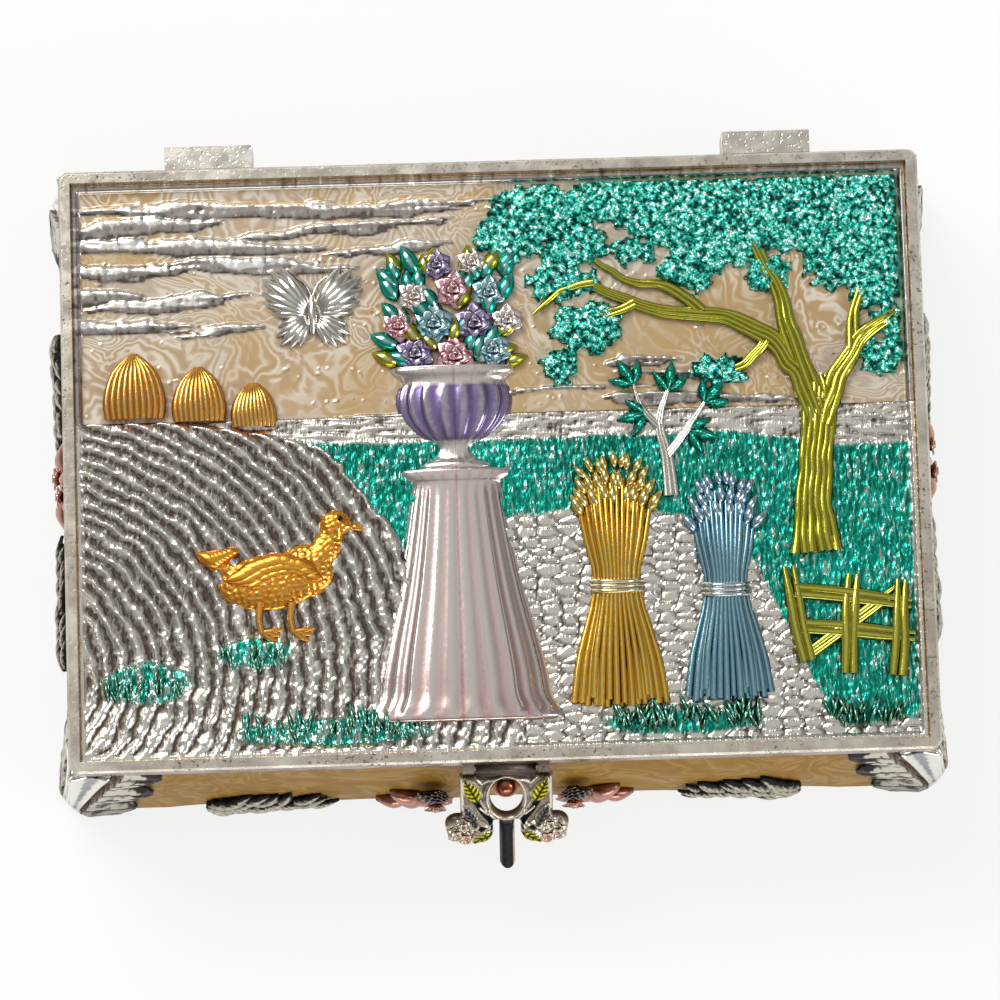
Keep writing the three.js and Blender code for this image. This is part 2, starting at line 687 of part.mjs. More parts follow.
function landMotifs() {
  const made = [];
  for (let radius = ridges.first; radius < ridges.last; radius += ridges.pitch) {
    made.push(ridge(radius));
  }
  const ploughed = common(join(...made), flatMotif(hillOutline, 1));
  return [flatMotif(landOutline, 0.3), flatMotif(hillOutline, 0.42), ploughed];
}

function picturePlate() {
  const length = trayLength - 2 * gap;
  const depth = trayDepth - 2 * gap;
  const slab = centredBlock(length, depth, -plateThickness, 0);
  const within = centredBlock(length, depth, -plateThickness / 2, pictureDrop);
  const drawn = join(
    ...landMotifs(),
    ...treeMotif(),
    ...urnMotif(),
    ...sheafMotifs(),
    ...smallMotifs(),
    ...hurdleMotif(),
  ).scale(trayLength / 100, trayDepth / 100, trayLength / 100);
  const motifs = common(drawn, within);
  const lip = cut(
    centredBlock(length, depth, -plateThickness / 2, lipHeight),
    centredBlock(length - 2 * lipWidth, depth - 2 * lipWidth, -plateThickness, pictureDrop),
  );
  return join(slab, motifs, lip).translate(0, 0, pictureLevel);
}

addPiece("picture_plate", picturePlate(), relief);

// Hinges: the lid leaf has a lug over one middle knuckle, the body leaf has the two outer knuckles
function lidLeaf() {
  const back = lidDepth / 2 + gap;
  const lugTop = boxHeight - lugDrop;
  const half = hingeWidth / 2;
  const middle = middleKnuckleWidth / 2;
  const lug = block(-half, half, back, lidDepth / 2 + lugReach, lugTop - lugThickness, lugTop);
  const web = block(
    -middle,
    middle,
    back,
    hingeAxis.y + hingeKnuckleRadius,
    hingeAxis.z,
    lugTop - lugThickness / 2,
  );
  const knuckle = rodAlongX(hingeKnuckleRadius, -middle, middle, hingeAxis.y, hingeAxis.z);
  const hole = rodAlongX(hingePinRadius + pinClearance, -half, half, hingeAxis.y, hingeAxis.z, 12);
  return cut(join(lug, web, knuckle), hole);
}

// Leans a hinge leaf to follow the back wall, without spreading it sideways.
function leanedBack(geometry) {
  const position = geometry.getAttribute("position");
  for (let i = 0; i < position.count; i += 1) {
    position.setY(i, position.getY(i) + flareAt(position.getZ(i)));
  }
  return geometry;
}

function bodyLeaf() {
  const half = hingeWidth / 2;
  const inner = middleKnuckleWidth / 2 + gap;
  const back = bodyDepth / 2 + gap;
  const plate = leanedBack(
    block(-half, half, back, back + leafPlateThickness, seam - leafPlateHeight, seam),
  );
  const outer = [1, -1].flatMap((side) => {
    const x0 = Math.min(side * inner, side * half);
    const x1 = Math.max(side * inner, side * half);
    const neckStart = back + leafPlateThickness / 2;
    const neck = block(x0, x1, neckStart, hingeAxis.y, seam - hingeKnuckleRadius, seam);
    return [neck, rodAlongX(hingeKnuckleRadius, x0, x1, hingeAxis.y, hingeAxis.z)];
  });
  const hole = rodAlongX(
    hingePinRadius + pinClearance,
    -half - 1,
    half + 1,
    hingeAxis.y,
    hingeAxis.z,
    12,
  );
  return cut(join(plate, ...outer), hole);
}

const lidLeafGeometry = lidLeaf();
const bodyLeafGeometry = bodyLeaf();
const hingePinGeometry = rodAlongX(
  hingePinRadius,
  -hingeWidth / 2,
  hingeWidth / 2,
  hingeAxis.y,
  hingeAxis.z,
  12,
);
[["right", 1], ["left", -1]].forEach(([name, side]) => {
  const hinge = new THREE.Group();
  hinge.position.x = side * (bodyLength / 2 - hingeInset);
  box.add(hinge);
  addPiece("hinge_lid_leaf_" + name, lidLeafGeometry, silver, hinge);
  addPiece("hinge_body_leaf_" + name, bodyLeafGeometry, silver, hinge);
  addPiece("hinge_pin_" + name, hingePinGeometry, steel, hinge);
});

// Hasp: drawn hanging straight down from its pivot, then swung out
function haspShape() {
  const half = haspWidth / 2;
  const wing = haspWingWidth / 2;
  const tab = haspTabWidth / 2;
  const notch = tab + haspNotchWidth;
  const middle = (haspWaist + haspWingEnd) / 2;
  const shape = new THREE.Shape();
  shape.moveTo(half, -haspPlateTop);
  shape.lineTo(-half, -haspPlateTop);
  shape.lineTo(-half, -haspWaist);
  shape.quadraticCurveTo(-wing, -haspWaist - 0.6, -wing, -middle);
  shape.quadraticCurveTo(-wing, -haspWingEnd, -half, -haspWingEnd);
  shape.lineTo(-notch, -haspWingEnd + 0.6);
  shape.lineTo(-notch, -haspNotchTop);
  shape.lineTo(-tab, -haspNotchTop);
  shape.lineTo(-tab, -haspTabEnd + tab);
  shape.absarc(0, -haspTabEnd + tab, tab, Math.PI, 2 * Math.PI);
  shape.lineTo(tab, -haspNotchTop);
  shape.lineTo(notch, -haspNotchTop);
  shape.lineTo(notch, -haspWingEnd + 0.6);
  shape.lineTo(half, -haspWingEnd);
  shape.quadraticCurveTo(wing, -haspWingEnd, wing, -middle);
  shape.quadraticCurveTo(wing, -haspWaist - 0.6, half, -haspWaist);
  shape.closePath();
  const eye = new THREE.Path();
  const eyeMiddle = -(eyeTop + eyeBottom) / 2;
  eye.absellipse(0, eyeMiddle, eyeWidth / 2, (eyeBottom - eyeTop) / 2, 0, 2 * Math.PI, true);
  shape.holes.push(eye);
  return shape;
}

function hasp() {
  const plate = standOnFront(extrude(haspShape(), haspThickness, 5)).translate(0, haspThickness / 2, 0);
  const half = haspKnuckleWidth / 2;
  const neck = block(-half, half, -haspThickness / 2, haspThickness / 2, -haspPlateTop - 0.3, 0);
  const knuckle = rodAlongX(haspKnuckleRadius, -half, half, 0, 0);
  const hole = rodAlongX(haspPinRadius + pinClearance, -half - 1, half + 1, 0, 0, 12);
  return cut(join(plate, neck, knuckle), hole);
}

const haspFrame = new THREE.Group();
haspFrame.position.set(0, haspPivot.y, haspPivot.z);
haspFrame.rotation.x = -tilt;
box.add(haspFrame);
addPiece("hasp", hasp(), leafSilver, haspFrame);

const haspPinHalf = haspKnuckleWidth / 2 + gap + haspEarWidth;
const haspPin = rodAlongX(haspPinRadius, -haspPinHalf, haspPinHalf, haspPivot.y, haspPivot.z, 12);
addPiece("hasp_pin", haspPin, steel);

const trinketBox = new THREE.Group();
trinketBox.add(box);
export default trinketBox;
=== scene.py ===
# %% [markdown]
# # Dressing a cast metal trinket box
#
# The box is a hinged casket of plated castings. Its lid is a tray that holds a relief picture: silver
# metal under see-through coloured lacquer, with a pearly enamel sky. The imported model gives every
# piece its true size and place. Here the pieces that the camera sees get their fine shape and finish.
# Lengths are written in millimetres and turned to metres when a mesh is finished.

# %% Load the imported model
import math
import random

import bmesh
import bpy
import numpy as np
from mathutils import Matrix, Vector


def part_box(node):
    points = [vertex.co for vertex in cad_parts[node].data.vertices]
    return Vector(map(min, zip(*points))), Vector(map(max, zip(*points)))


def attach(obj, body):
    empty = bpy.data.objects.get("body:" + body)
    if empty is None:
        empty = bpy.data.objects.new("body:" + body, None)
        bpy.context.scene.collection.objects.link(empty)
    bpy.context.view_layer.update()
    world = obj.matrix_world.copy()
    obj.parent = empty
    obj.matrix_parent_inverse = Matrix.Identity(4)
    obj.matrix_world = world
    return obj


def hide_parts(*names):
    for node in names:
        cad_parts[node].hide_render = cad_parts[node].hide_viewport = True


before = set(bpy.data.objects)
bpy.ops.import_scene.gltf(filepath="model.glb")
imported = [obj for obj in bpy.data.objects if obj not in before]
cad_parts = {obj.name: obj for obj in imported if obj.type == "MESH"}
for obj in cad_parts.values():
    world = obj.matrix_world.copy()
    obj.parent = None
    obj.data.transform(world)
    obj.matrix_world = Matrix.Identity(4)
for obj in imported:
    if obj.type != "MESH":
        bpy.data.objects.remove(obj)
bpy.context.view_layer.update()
MM = 0.001

# %% [markdown]
# Everything on the lid is drawn round the middle of the picture plate, x to the right and y up the
# picture, so the plate's own box says where that middle is. The sizes of the walls are read from the
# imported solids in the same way, so the dressing follows the solids when they change.

# %% Read the sizes that the dressing hangs on
plate_low, plate_high = (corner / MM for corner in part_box("picture_plate"))
frame_low, frame_high = (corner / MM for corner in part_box("lid_frame"))
shell_low, shell_high = (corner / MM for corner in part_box("body_shell"))
PLATE_THICKNESS = 1.2
MIDDLE_Y = (plate_low.y + plate_high.y) / 2
FIELD_Z = plate_low.z + PLATE_THICKNESS
HALF_X = plate_high.x
HALF_Y = plate_high.y - MIDDLE_Y
LID_TOP = frame_high.z
SEAM = shell_high.z
APRON = shell_low.z
print("picture %.1f by %.1f mm, field at %.1f mm" % (2 * HALF_X, 2 * HALF_Y, FIELD_Z))

# %% [markdown]
# ## Camera
#
# The photograph looks almost straight down on the lid. The angle, distance and focal length were
# found by fitting the lid's corners, the feet and the edge of the front wall to the photograph. A
# long lens from 0.69 m keeps the sides of the lid nearly parallel, as they are there.

# %% Camera
VIEW_AZIMUTH = 0.0946
VIEW_ELEVATION = 1.43016
VIEW_ROLL = 0.06433
VIEW_DISTANCE = 685.6
VIEW_TARGET = Vector((0.37, MIDDLE_Y - 5.23, 30.0))
FOCAL_PIXELS = 4639.4
FRAME_PIXELS = 1000

flat_look = Vector((math.sin(VIEW_AZIMUTH), math.cos(VIEW_AZIMUTH), 0)) * math.cos(VIEW_ELEVATION)
look = flat_look + Vector((0, 0, -math.sin(VIEW_ELEVATION)))
level_right = Vector((math.cos(VIEW_AZIMUTH), -math.sin(VIEW_AZIMUTH), 0))
level_up = level_right.cross(look)
right = math.cos(VIEW_ROLL) * level_right + math.sin(VIEW_ROLL) * level_up
up = math.cos(VIEW_ROLL) * level_up - math.sin(VIEW_ROLL) * level_right

lens = bpy.data.cameras.new("camera")
lens.sensor_width = 36
lens.lens = lens.sensor_width * FOCAL_PIXELS / FRAME_PIXELS
camera = bpy.data.objects.new("camera", lens)
turned = Matrix((right, up, -look)).transposed().to_4x4()
camera.matrix_world = Matrix.Translation((VIEW_TARGET - look * VIEW_DISTANCE) * MM) @ turned
lens.clip_start, lens.clip_end = 0.01, 10
scene = bpy.context.scene
scene.collection.objects.link(camera)
scene.camera = camera
scene.view_settings.view_transform = "Standard"
print("camera %.0f mm lens at" % lens.lens, [round(v, 3) for v in camera.location])

# %% [markdown]
# ## Light and floor
#
# Bright plated metal shows what is round it. One wide soft lamp over the back left gives the
# highlights, and weaker ones fill from the front. The world is a pale room: light at the horizon and
# overhead, darker in between, so that each slope of the relief shows another tone. The floor is white.

# %% Floor, lamps and world
def new_object(name, data):
    made = bpy.data.objects.new(name, data)
    scene.collection.objects.link(made)
    return made


floor_mesh = bmesh.new()
bmesh.ops.create_grid(floor_mesh, x_segments=1, y_segments=1, size=3)
floor_data = bpy.data.meshes.new("floor")
floor_mesh.to_mesh(floor_data)
floor_mesh.free()
floor = new_object("floor", floor_data)
floor.location.z = -0.0002
FLOOR_WHITE = 0.8


def soft_lamp(name, place, size, power, colour):
    lamp = bpy.data.lights.new(name, "AREA")
    lamp.shape = "RECTANGLE"
    lamp.size, lamp.size_y = size
    lamp.energy = power
    lamp.color = colour
    made = new_object(name, lamp)
    made.location = place
    made.rotation_euler = Vector(place).to_track_quat("Z", "Y").to_euler()
    return made


soft_lamp("window", (-0.55, 0.75, 1.15), (0.9, 0.6), 14, (1.0, 0.98, 0.94))
soft_lamp("fill", (0.9, -0.55, 0.9), (0.5, 0.5), 5, (0.96, 0.97, 1.0))
soft_lamp("low_front", (0.1, -1.1, 0.35), (0.8, 0.25), 2.5, (1.0, 0.96, 0.9))

world = bpy.data.worlds.new("room")
scene.world = world
world.use_nodes = True
sky_nodes, sky_links = world.node_tree.nodes, world.node_tree.links
background = sky_nodes["Background"]
direction = sky_nodes.new("ShaderNodeTexCoord")
height_of = sky_nodes.new("ShaderNodeSeparateXYZ")
tones = sky_nodes.new("ShaderNodeValToRGB")
while len(tones.color_ramp.elements) < 5:
    tones.color_ramp.elements.new(1.0)
ROOM_TONES = ((0.0, 0.85), (0.16, 0.62), (0.45, 0.22), (0.74, 0.26), (1.0, 0.66))
for element, (position, grey) in zip(tones.color_ramp.elements, ROOM_TONES):
    element.position = position
    element.color = (grey, grey * 0.985, grey * 0.96, 1)
sky_links.new(direction.outputs["Generated"], height_of.inputs[0])
sky_links.new(height_of.outputs["Z"], tones.inputs[0])
sky_links.new(tones.outputs["Color"], background.inputs["Color"])

# %% [markdown]
# ## Finishes
#
# A finish is one material. The small class keeps the wiring short: each call adds a node and hands
# back its output. Patterns read Object coordinates, which are metres in the same frame as the
# solids, so a scale of 1000 makes a pattern of about a millimetre.

# %% A helper for finishes
class Finish:
    def __init__(self, name, **sockets):
        self.material = bpy.data.materials.new(name)
        self.material.use_nodes = True
        self.nodes = self.material.node_tree.nodes
        self.links = self.material.node_tree.links
        self.shader = self.nodes["Principled BSDF"]
        self.place = self.nodes.new("ShaderNodeTexCoord").outputs["Object"]
        for socket, value in sockets.items():
            self.shader.inputs[socket.replace("_", " ")].default_value = value

    def feed(self, node, socket, value):
        if isinstance(value, bpy.types.NodeSocket):
            self.links.new(value, node.inputs[socket])
        elif value is not None:
            node.inputs[socket].default_value = value

    def noise(self, scale, detail=3.0, distortion=0.0, vector=None, output="Fac"):
        made = self.nodes.new("ShaderNodeTexNoise")
        self.feed(made, "Vector", vector or self.place)
        self.feed(made, "Scale", scale)
        self.feed(made, "Detail", detail)
        self.feed(made, "Distortion", distortion)
        return made.outputs[output]

    def cells(self, scale, vector=None, feature="F1", output="Distance"):
        made = self.nodes.new("ShaderNodeTexVoronoi")
        made.feature = feature
        self.feed(made, "Vector", vector or self.place)
        self.feed(made, "Scale", scale)
        return made.outputs[output]

    def stretched(self, x, y, z):
        made = self.nodes.new("ShaderNodeMapping")
        self.feed(made, "Vector", self.place)
        made.inputs["Scale"].default_value = (x, y, z)
        return made.outputs[0]

    def ramp(self, source, *stops):
        made = self.nodes.new("ShaderNodeValToRGB")
        elements = made.color_ramp.elements
        while len(elements) < len(stops):
            elements.new(1.0)
        for element, (position, colour) in zip(elements, stops):
            element.position = position
            element.color = (*colour, 1) if isinstance(colour, tuple) else (colour, colour, colour, 1)
        self.feed(made, "Fac", source)
        return made.outputs["Color"]

    def blend(self, amount, first, second, mode="MIX"):
        made = self.nodes.new("ShaderNodeMix")
        made.data_type = "RGBA"
        made.blend_type = mode
        self.feed(made, "Factor", amount)
        self.feed(made, "A", (*first, 1) if isinstance(first, tuple) else first)
        self.feed(made, "B", (*second, 1) if isinstance(second, tuple) else second)
        return made.outputs["Result"]

    def calc(self, operation, first, second=None):
        made = self.nodes.new("ShaderNodeMath")
        made.operation = operation
        self.feed(made, 0, first)
        self.feed(made, 1, second)
        return made.outputs[0]

    def attribute(self, name, output="Color"):
        made = self.nodes.new("ShaderNodeAttribute")
        made.attribute_name = name
        return made.outputs[output]

    def colour(self, source):
        self.feed(self.shader, "Base Color", source)

    def rough(self, source):
        self.feed(self.shader, "Roughness", source)

    def bump(self, height, strength, distance):
        made = self.nodes.new("ShaderNodeBump")
        made.inputs["Strength"].default_value = strength
        made.inputs["Distance"].default_value = distance * MM
        self.feed(made, "Height", height)
        self.links.new(made.outputs["Normal"], self.shader.inputs["Normal"])
        return made.outputs["Normal"]


floor_finish = Finish("white_floor", Base_Color=(0.9, 0.9, 0.9, 1), Roughness=0.9)
paths = floor_finish.nodes.new("ShaderNodeLightPath")
seen = floor_finish.calc("MAXIMUM", paths.outputs["Is Camera Ray"],
                         floor_finish.calc("MAXIMUM", paths.outputs["Is Glossy Ray"], paths.outputs["Is Transmission Ray"]))
glow = floor_finish.nodes.new("ShaderNodeEmission")
either = floor_finish.nodes.new("ShaderNodeMixShader")
floor_finish.links.new(floor_finish.calc("MULTIPLY", seen, FLOOR_WHITE), either.inputs[0])
floor_finish.links.new(floor_finish.shader.outputs[0], either.inputs[1])
floor_finish.links.new(glow.outputs[0], either.inputs[2])
floor_finish.links.new(either.outputs[0], floor_finish.nodes["Material Output"].inputs["Surface"])
floor.data.materials.append(floor_finish.material)

# %% [markdown]
# The finishes of the box itself. Plated silver is a metal whose colour breaks up into darker, pitted
# patches. The wall enamel is amber with a fine pearl swirl: noise that is bent by other noise gives
# the marbled lines. The painted relief keeps three numbers at each point of its mesh, made with the
# shape: the lacquer's colour, how much lacquer covers the silver, and how high the point stands above
# its surroundings, because lacquer is rubbed thin on the ridges and lies dark in the grooves.

# %% Silver, enamel, steel and velvet
def cast_silver(name, bright, dull, pit=0.5, pit_scale=1500, roughness=0.28, bumps=0.35, outside=None, inside=None):
    """Plated casting; outside and inside = (half length, half depth, foot, tone) lay a painted reflection tone on the
    side faces past those.
    """
    made = Finish(name, Metallic=1.0)
    cloud = made.noise(260, 4)
    tone = made.ramp(cloud, (0.35, dull), (0.62, bright))
    pits = made.ramp(made.noise(pit_scale, 2), (0.30, 0.0), (0.42, 1.0))
    where = made.ramp(made.noise(90, 2), (0.42, 0.0), (0.6, pit))
    dark = made.blend(where, (1.0, 1.0, 1.0), pits)
    # Past these bounds, on the side faces, a painted reflection tone is laid in soft streaks.
    for bounds, compare, join in ((outside, "GREATER_THAN", "MAXIMUM"), (inside, "LESS_THAN", "MINIMUM")):
        if bounds:
            half_x, half_y, foot, reflected_tone = bounds
            parts = made.nodes.new("ShaderNodeSeparateXYZ")
            made.links.new(made.place, parts.inputs[0])
            from_middle = made.calc("ABSOLUTE", made.calc("SUBTRACT", parts.outputs["Y"], MIDDLE_Y * MM))
            past_x = made.calc(compare, made.calc("ABSOLUTE", parts.outputs["X"]), half_x * MM)
            past = made.calc(join, past_x, made.calc(compare, from_middle, half_y * MM))
            below = made.calc("MULTIPLY", made.calc("LESS_THAN", parts.outputs["Z"], (LID_TOP - 0.35) * MM),
                              made.calc("GREATER_THAN", parts.outputs["Z"], foot * MM))
            reflection_streaks = made.ramp(made.noise(30, 2), (0.35, 0.5), (0.6, 1.0))
            tone = made.blend(made.calc("MULTIPLY", made.calc("MULTIPLY", past, below), reflection_streaks), tone, reflected_tone)
    made.colour(made.blend(1.0, tone, dark, "MULTIPLY"))
    made.rough(made.ramp(made.noise(500, 3), (0.3, roughness * 0.7), (0.7, roughness * 1.5)))
    made.bump(made.calc("ADD", made.noise(420, 4), pits), bumps, 0.12)
    return made.material


def bent(made, scale, amount, detail=1.5):
    """The place of a point, pushed about by soft noise, which curls any pattern that reads it."""
    bend = made.noise(scale, detail, 0.6, output="Color")
    moved = made.nodes.new("ShaderNodeVectorMath")
    moved.operation = "MULTIPLY_ADD"
    made.links.new(bend, moved.inputs[0])
    moved.inputs[1].default_value = (amount, amount, amount)
    made.links.new(made.place, moved.inputs[2])
    return moved.outputs[0]


def marbled(made, coarse, fine, swirl):
    return made.noise(fine, 2.5, 1.6, vector=bent(made, coarse, swirl))


def amber_tone(made, deep, middle, light):
    """Broad, soft swirls for the walls, which are seen nearly edge on in the photograph."""
    lines = marbled(made, 42, 62, 0.045)
    return made.ramp(lines, (0.28, deep), (0.38, middle), (0.425, light), (0.45, middle), (0.50, deep), (0.545, middle),
                     (0.57, light), (0.60, middle), (0.68, deep), (0.72, light), (0.75, middle))


AMBER = ((0.285, 0.138, 0.012), (0.33, 0.178, 0.022), (0.41, 0.250, 0.062))


def pearl_enamel(name, tones):
    made = Finish(name, Specular_IOR_Level=0.18)
    made.colour(amber_tone(made, *tones))
    made.rough(made.ramp(made.noise(300, 3), (0.3, 0.42), (0.7, 0.58)))
    made.bump(made.noise(120, 2), 0.06, 0.15)
    return made.material


def enamelled_shell(name, tones, bright, dull):
    """Amber enamel between the corner legs, plated metal at the corners, the rim and the inside."""
    made = Finish(name, Specular_IOR_Level=0.2)
    parts = made.nodes.new("ShaderNodeSeparateXYZ")
    made.links.new(made.place, parts.inputs[0])
    from_middle = made.calc("ABSOLUTE", made.calc("SUBTRACT", parts.outputs["Y"], MIDDLE_Y * MM))
    near_x = made.calc("LESS_THAN", made.calc("ABSOLUTE", parts.outputs["X"]), ENAMEL_HALF_X * MM)
    near_y = made.calc("LESS_THAN", from_middle, ENAMEL_HALF_Y * MM)
    low = made.calc("LESS_THAN", parts.outputs["Z"], ENAMEL_TOP * MM)
    mask = made.calc("MULTIPLY", made.calc("MAXIMUM", near_x, near_y), low)
    plated = made.ramp(made.noise(260, 4), (0.35, dull), (0.62, bright))
    made.colour(made.blend(mask, plated, amber_tone(made, *tones)))
    made.links.new(made.calc("SUBTRACT", 1.0, mask), made.shader.inputs["Metallic"])
    made.rough(made.blend(mask, made.ramp(made.noise(500, 3), (0.3, 0.5), (0.7, 0.66)), (0.5, 0.5, 0.5)))
    made.bump(made.noise(420, 4), 0.2, 0.1)
    return made.material


def polished_metal(name, colour, roughness, streak=900):
    made = Finish(name, Metallic=1.0)
    grain = made.noise(1.0, 3, vector=made.stretched(streak, streak * 0.12, streak * 0.12))
    low = tuple(v * 0.78 for v in colour)
    made.colour(made.ramp(grain, (0.35, low), (0.65, colour)))
    made.rough(made.ramp(made.noise(700, 3), (0.35, roughness * 0.7), (0.7, roughness * 1.6)))
    made.bump(grain, 0.08, 0.05)
    return made.material


def velvet_cloth(name, colour):
    made = Finish(name, Roughness=0.95, Sheen_Weight=0.6, Sheen_Roughness=0.4)
    made.shader.inputs["Sheen Tint"].default_value = (0.9, 0.45, 0.5, 1)
    pile = made.noise(2600, 2)
    brushed = made.noise(95, 4)
    dark = tuple(v * 0.72 for v in colour)
    worn = made.blend(made.ramp(brushed, (0.38, 0.0), (0.62, 1.0)), dark, colour)
    made.colour(made.blend(0.35, worn, made.ramp(pile, (0.3, 0.15), (0.7, 1.0)), "MULTIPLY"))
    made.bump(pile, 0.5, 0.15)
    return made.material


silver = cast_silver("pitted_silver", (0.66, 0.63, 0.58), (0.46, 0.43, 0.39))
# The rim's outer sides get a painted mauve reflection, and the inner walls of the tray get a painted gold reflection of
# the enamel.
rim_silver = cast_silver("rim_silver", (0.70, 0.66, 0.58), (0.50, 0.45, 0.38), pit=0.75, pit_scale=1900, roughness=0.24, bumps=0.14,
                         outside=(63.1, 44.1, 0, (0.33, 0.245, 0.225)),
                         inside=(HALF_X + 0.6, HALF_Y + 0.6, FIELD_Z - 0.5, (0.80, 0.62, 0.38)))
hinge_silver = cast_silver("hinge_silver", (0.64, 0.61, 0.56), (0.56, 0.53, 0.48), pit=0.3, roughness=0.3)
ENAMEL_HALF_X, ENAMEL_HALF_Y, ENAMEL_TOP = 61.0, 42.0, SEAM - 1.0
wall_enamel = pearl_enamel("amber_enamel", AMBER)
shell_enamel = enamelled_shell("amber_and_silver", AMBER, (0.50, 0.47, 0.42), (0.36, 0.33, 0.29))
steel = polished_metal("polished_steel", (0.34, 0.35, 0.37), 0.16)
velvet = velvet_cloth("wine_velvet", (0.16, 0.012, 0.03))
print("finishes:", silver.name, wall_enamel.name, steel.name, velvet.name)


# %% The lacquered relief finish
def lacquered(name, metal_tone=(0.70, 0.68, 0.63), groove=(0.10, 0.085, 0.07), roughness=0.24, coat=0.25, blades=0.0,
              foot_shade_height=0.0):
    """Lacquer over metal; blades adds upright grass-like lines, faint on bare metal, and the foot
    height is the height in millimetres below which painted shade darkens the bare metal towards the floor."""
    made = Finish(name, Metallic=1.0, Coat_Weight=coat, Coat_Roughness=0.1)
    lacquer = made.attribute("lacquer")
    cover = made.attribute("lacquer", "Alpha")
    rise = made.attribute("rise", "Fac")
    grain = made.noise(1400, 3)
    height = made.calc("ADD", rise, made.calc("MULTIPLY", made.calc("SUBTRACT", grain, 0.5), 0.35))
    surface, bump_strength, bump_depth = made.noise(1100, 3), 0.3, 0.08
    if blades:
        bump_strength, bump_depth = 0.55, 0.16
        upright = made.noise(1.0, 2, 0.4, vector=made.stretched(2200, 520, 800))
        where = made.calc("ADD", made.calc("MULTIPLY", cover, 0.76), 0.24)
        lines = made.calc("MULTIPLY", made.calc("MULTIPLY", made.calc("SUBTRACT", upright, 0.5), where), blades)
        height = made.calc("ADD", height, lines)
        surface = made.calc("ADD", surface, lines)
    bare = made.blend(made.ramp(height, (0.12, 0.0), (0.5, 1.0)), groove, metal_tone)
    # Painted shade: below the foot height the bare metal darkens towards the floor.
    if foot_shade_height:
        parts = made.nodes.new("ShaderNodeSeparateXYZ")
        made.links.new(made.place, parts.inputs[0])
        level = made.calc("DIVIDE", parts.outputs["Z"], foot_shade_height * MM)
        bare = made.blend(made.ramp(level, (0.12, 0.88), (1.0, 0.0)), bare, groove)
    deep = made.blend(1.0, lacquer, lacquer, "MULTIPLY")
    tinted = made.blend(made.ramp(height, (0.15, 0.0), (0.62, 1.0)), deep, lacquer)
    glint = made.blend(0.55, lacquer, metal_tone)
    tinted = made.blend(made.ramp(height, (0.68, 0.0), (0.96, 1.0)), tinted, glint)
    made.colour(made.blend(cover, bare, tinted))
    made.rough(made.ramp(height, (0.2, roughness * 1.7), (0.8, roughness * 0.8)))
    made.bump(surface, bump_strength, bump_depth)
    return made.material


relief_paint = lacquered("lacquered_relief")
land_paint = lacquered("lacquered_land", (0.70, 0.67, 0.61), (0.085, 0.065, 0.05), blades=3.4)
olive_wood = lacquered("olive_wood", (0.80, 0.78, 0.36), (0.03, 0.035, 0.004), 0.2)
print("relief finish:", relief_paint.name)

# %% [markdown]
# ## Making pieces
#
# Each new piece starts as a bmesh in millimetres. Two layers on its points carry the lacquer colour
# with its cover, and the rise. `finish_piece` turns the mesh to metres, gives it its finish, and says
# what it rides on and what it stands for.

# %% Helpers for pieces
def paint_layers(bm):
    lacquer = bm.verts.layers.float_color.get("lacquer") or bm.verts.layers.float_color.new("lacquer")
    rise = bm.verts.layers.float.get("rise") or bm.verts.layers.float.new("rise")
    return lacquer, rise


def paint(bm, verts, colour, cover=1.0, rise=0.6):
    lacquer, height = paint_layers(bm)
    for vert in verts:
        vert[lacquer] = (*colour, cover)
        vert[height] = rise(vert.co) if callable(rise) else rise


def paint_cords(bm, verts, colour, cover=0.95, crest=0.85):
    """Lacquer on cords, with painted shade where a cord turns away from the viewer and a painted highlight along its
    crest.
    """
    bm.normal_update()
    lacquer, height = paint_layers(bm)
    for vert in verts:
        vert[lacquer] = (*colour, cover)
        vert[height] = crest * max(0.0, vert.normal.z) ** 1.3


def finish_piece(name, bm, finishes, body, stands_for=(), smooth=True):
    bmesh.ops.transform(bm, matrix=Matrix.Scale(MM, 4), verts=bm.verts)
    data = bpy.data.meshes.new(name)
    bm.to_mesh(data)
    bm.free()
    data.polygons.foreach_set("use_smooth", [smooth] * len(data.polygons))
    for material in finishes if isinstance(finishes, (list, tuple)) else [finishes]:
        data.materials.append(material)
    piece = new_object(name, data)
    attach(piece, body)
    if stands_for:
        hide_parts(*stands_for)
    print("%-24s %6d faces" % (name, len(data.polygons)))
    return piece


def stamp(bm, template, place):
    """Adds a copy of a template mesh at a place, and hands back its points."""
    paint_layers(bm)
    start = len(bm.verts)
    bm.from_mesh(template)
    bm.verts.ensure_lookup_table()
    new = bm.verts[start:]
    bmesh.ops.transform(bm, matrix=place, verts=new)
    return new


def as_template(name, bm):
    data = bpy.data.meshes.new(name)
    bm.to_mesh(data)
    bm.free()
    return data


def reopened(bm):
    """The same mesh with its points in one unbroken row, so that new ones come after them."""
    data = as_template("reopened", bm)
    fresh = bmesh.new()
    fresh.from_mesh(data)
    bpy.data.meshes.remove(data)
    return fresh


def placed(x=0.0, y=0.0, z=0.0, turn=0.0, scale=(1, 1, 1), tip=0.0, side=0.0):
    move = Matrix.Translation((x, y, z))
    spin = Matrix.Rotation(turn, 4, "Z") @ Matrix.Rotation(tip, 4, "Y") @ Matrix.Rotation(side, 4, "X")
    return move @ spin @ Matrix.Diagonal((*scale, 1))


def close_below(bm, drop):
    """Closes an open sheet: its rim goes straight down by drop and a flat face fills it."""
    rim = [edge for edge in bm.edges if edge.is_boundary]
    walled = bmesh.ops.extrude_edge_only(bm, edges=rim)["geom"]
    lower = [item for item in walled if isinstance(item, bmesh.types.BMVert)]
    base = min(vert.co.z for vert in lower) - drop
    for vert in lower:
        vert.co.z = base
    foot = [item for item in walled if isinstance(item, bmesh.types.BMEdge) and item.is_boundary]
    bmesh.ops.edgeloop_fill(bm, edges=foot)
    bmesh.ops.recalc_face_normals(bm, faces=bm.faces)


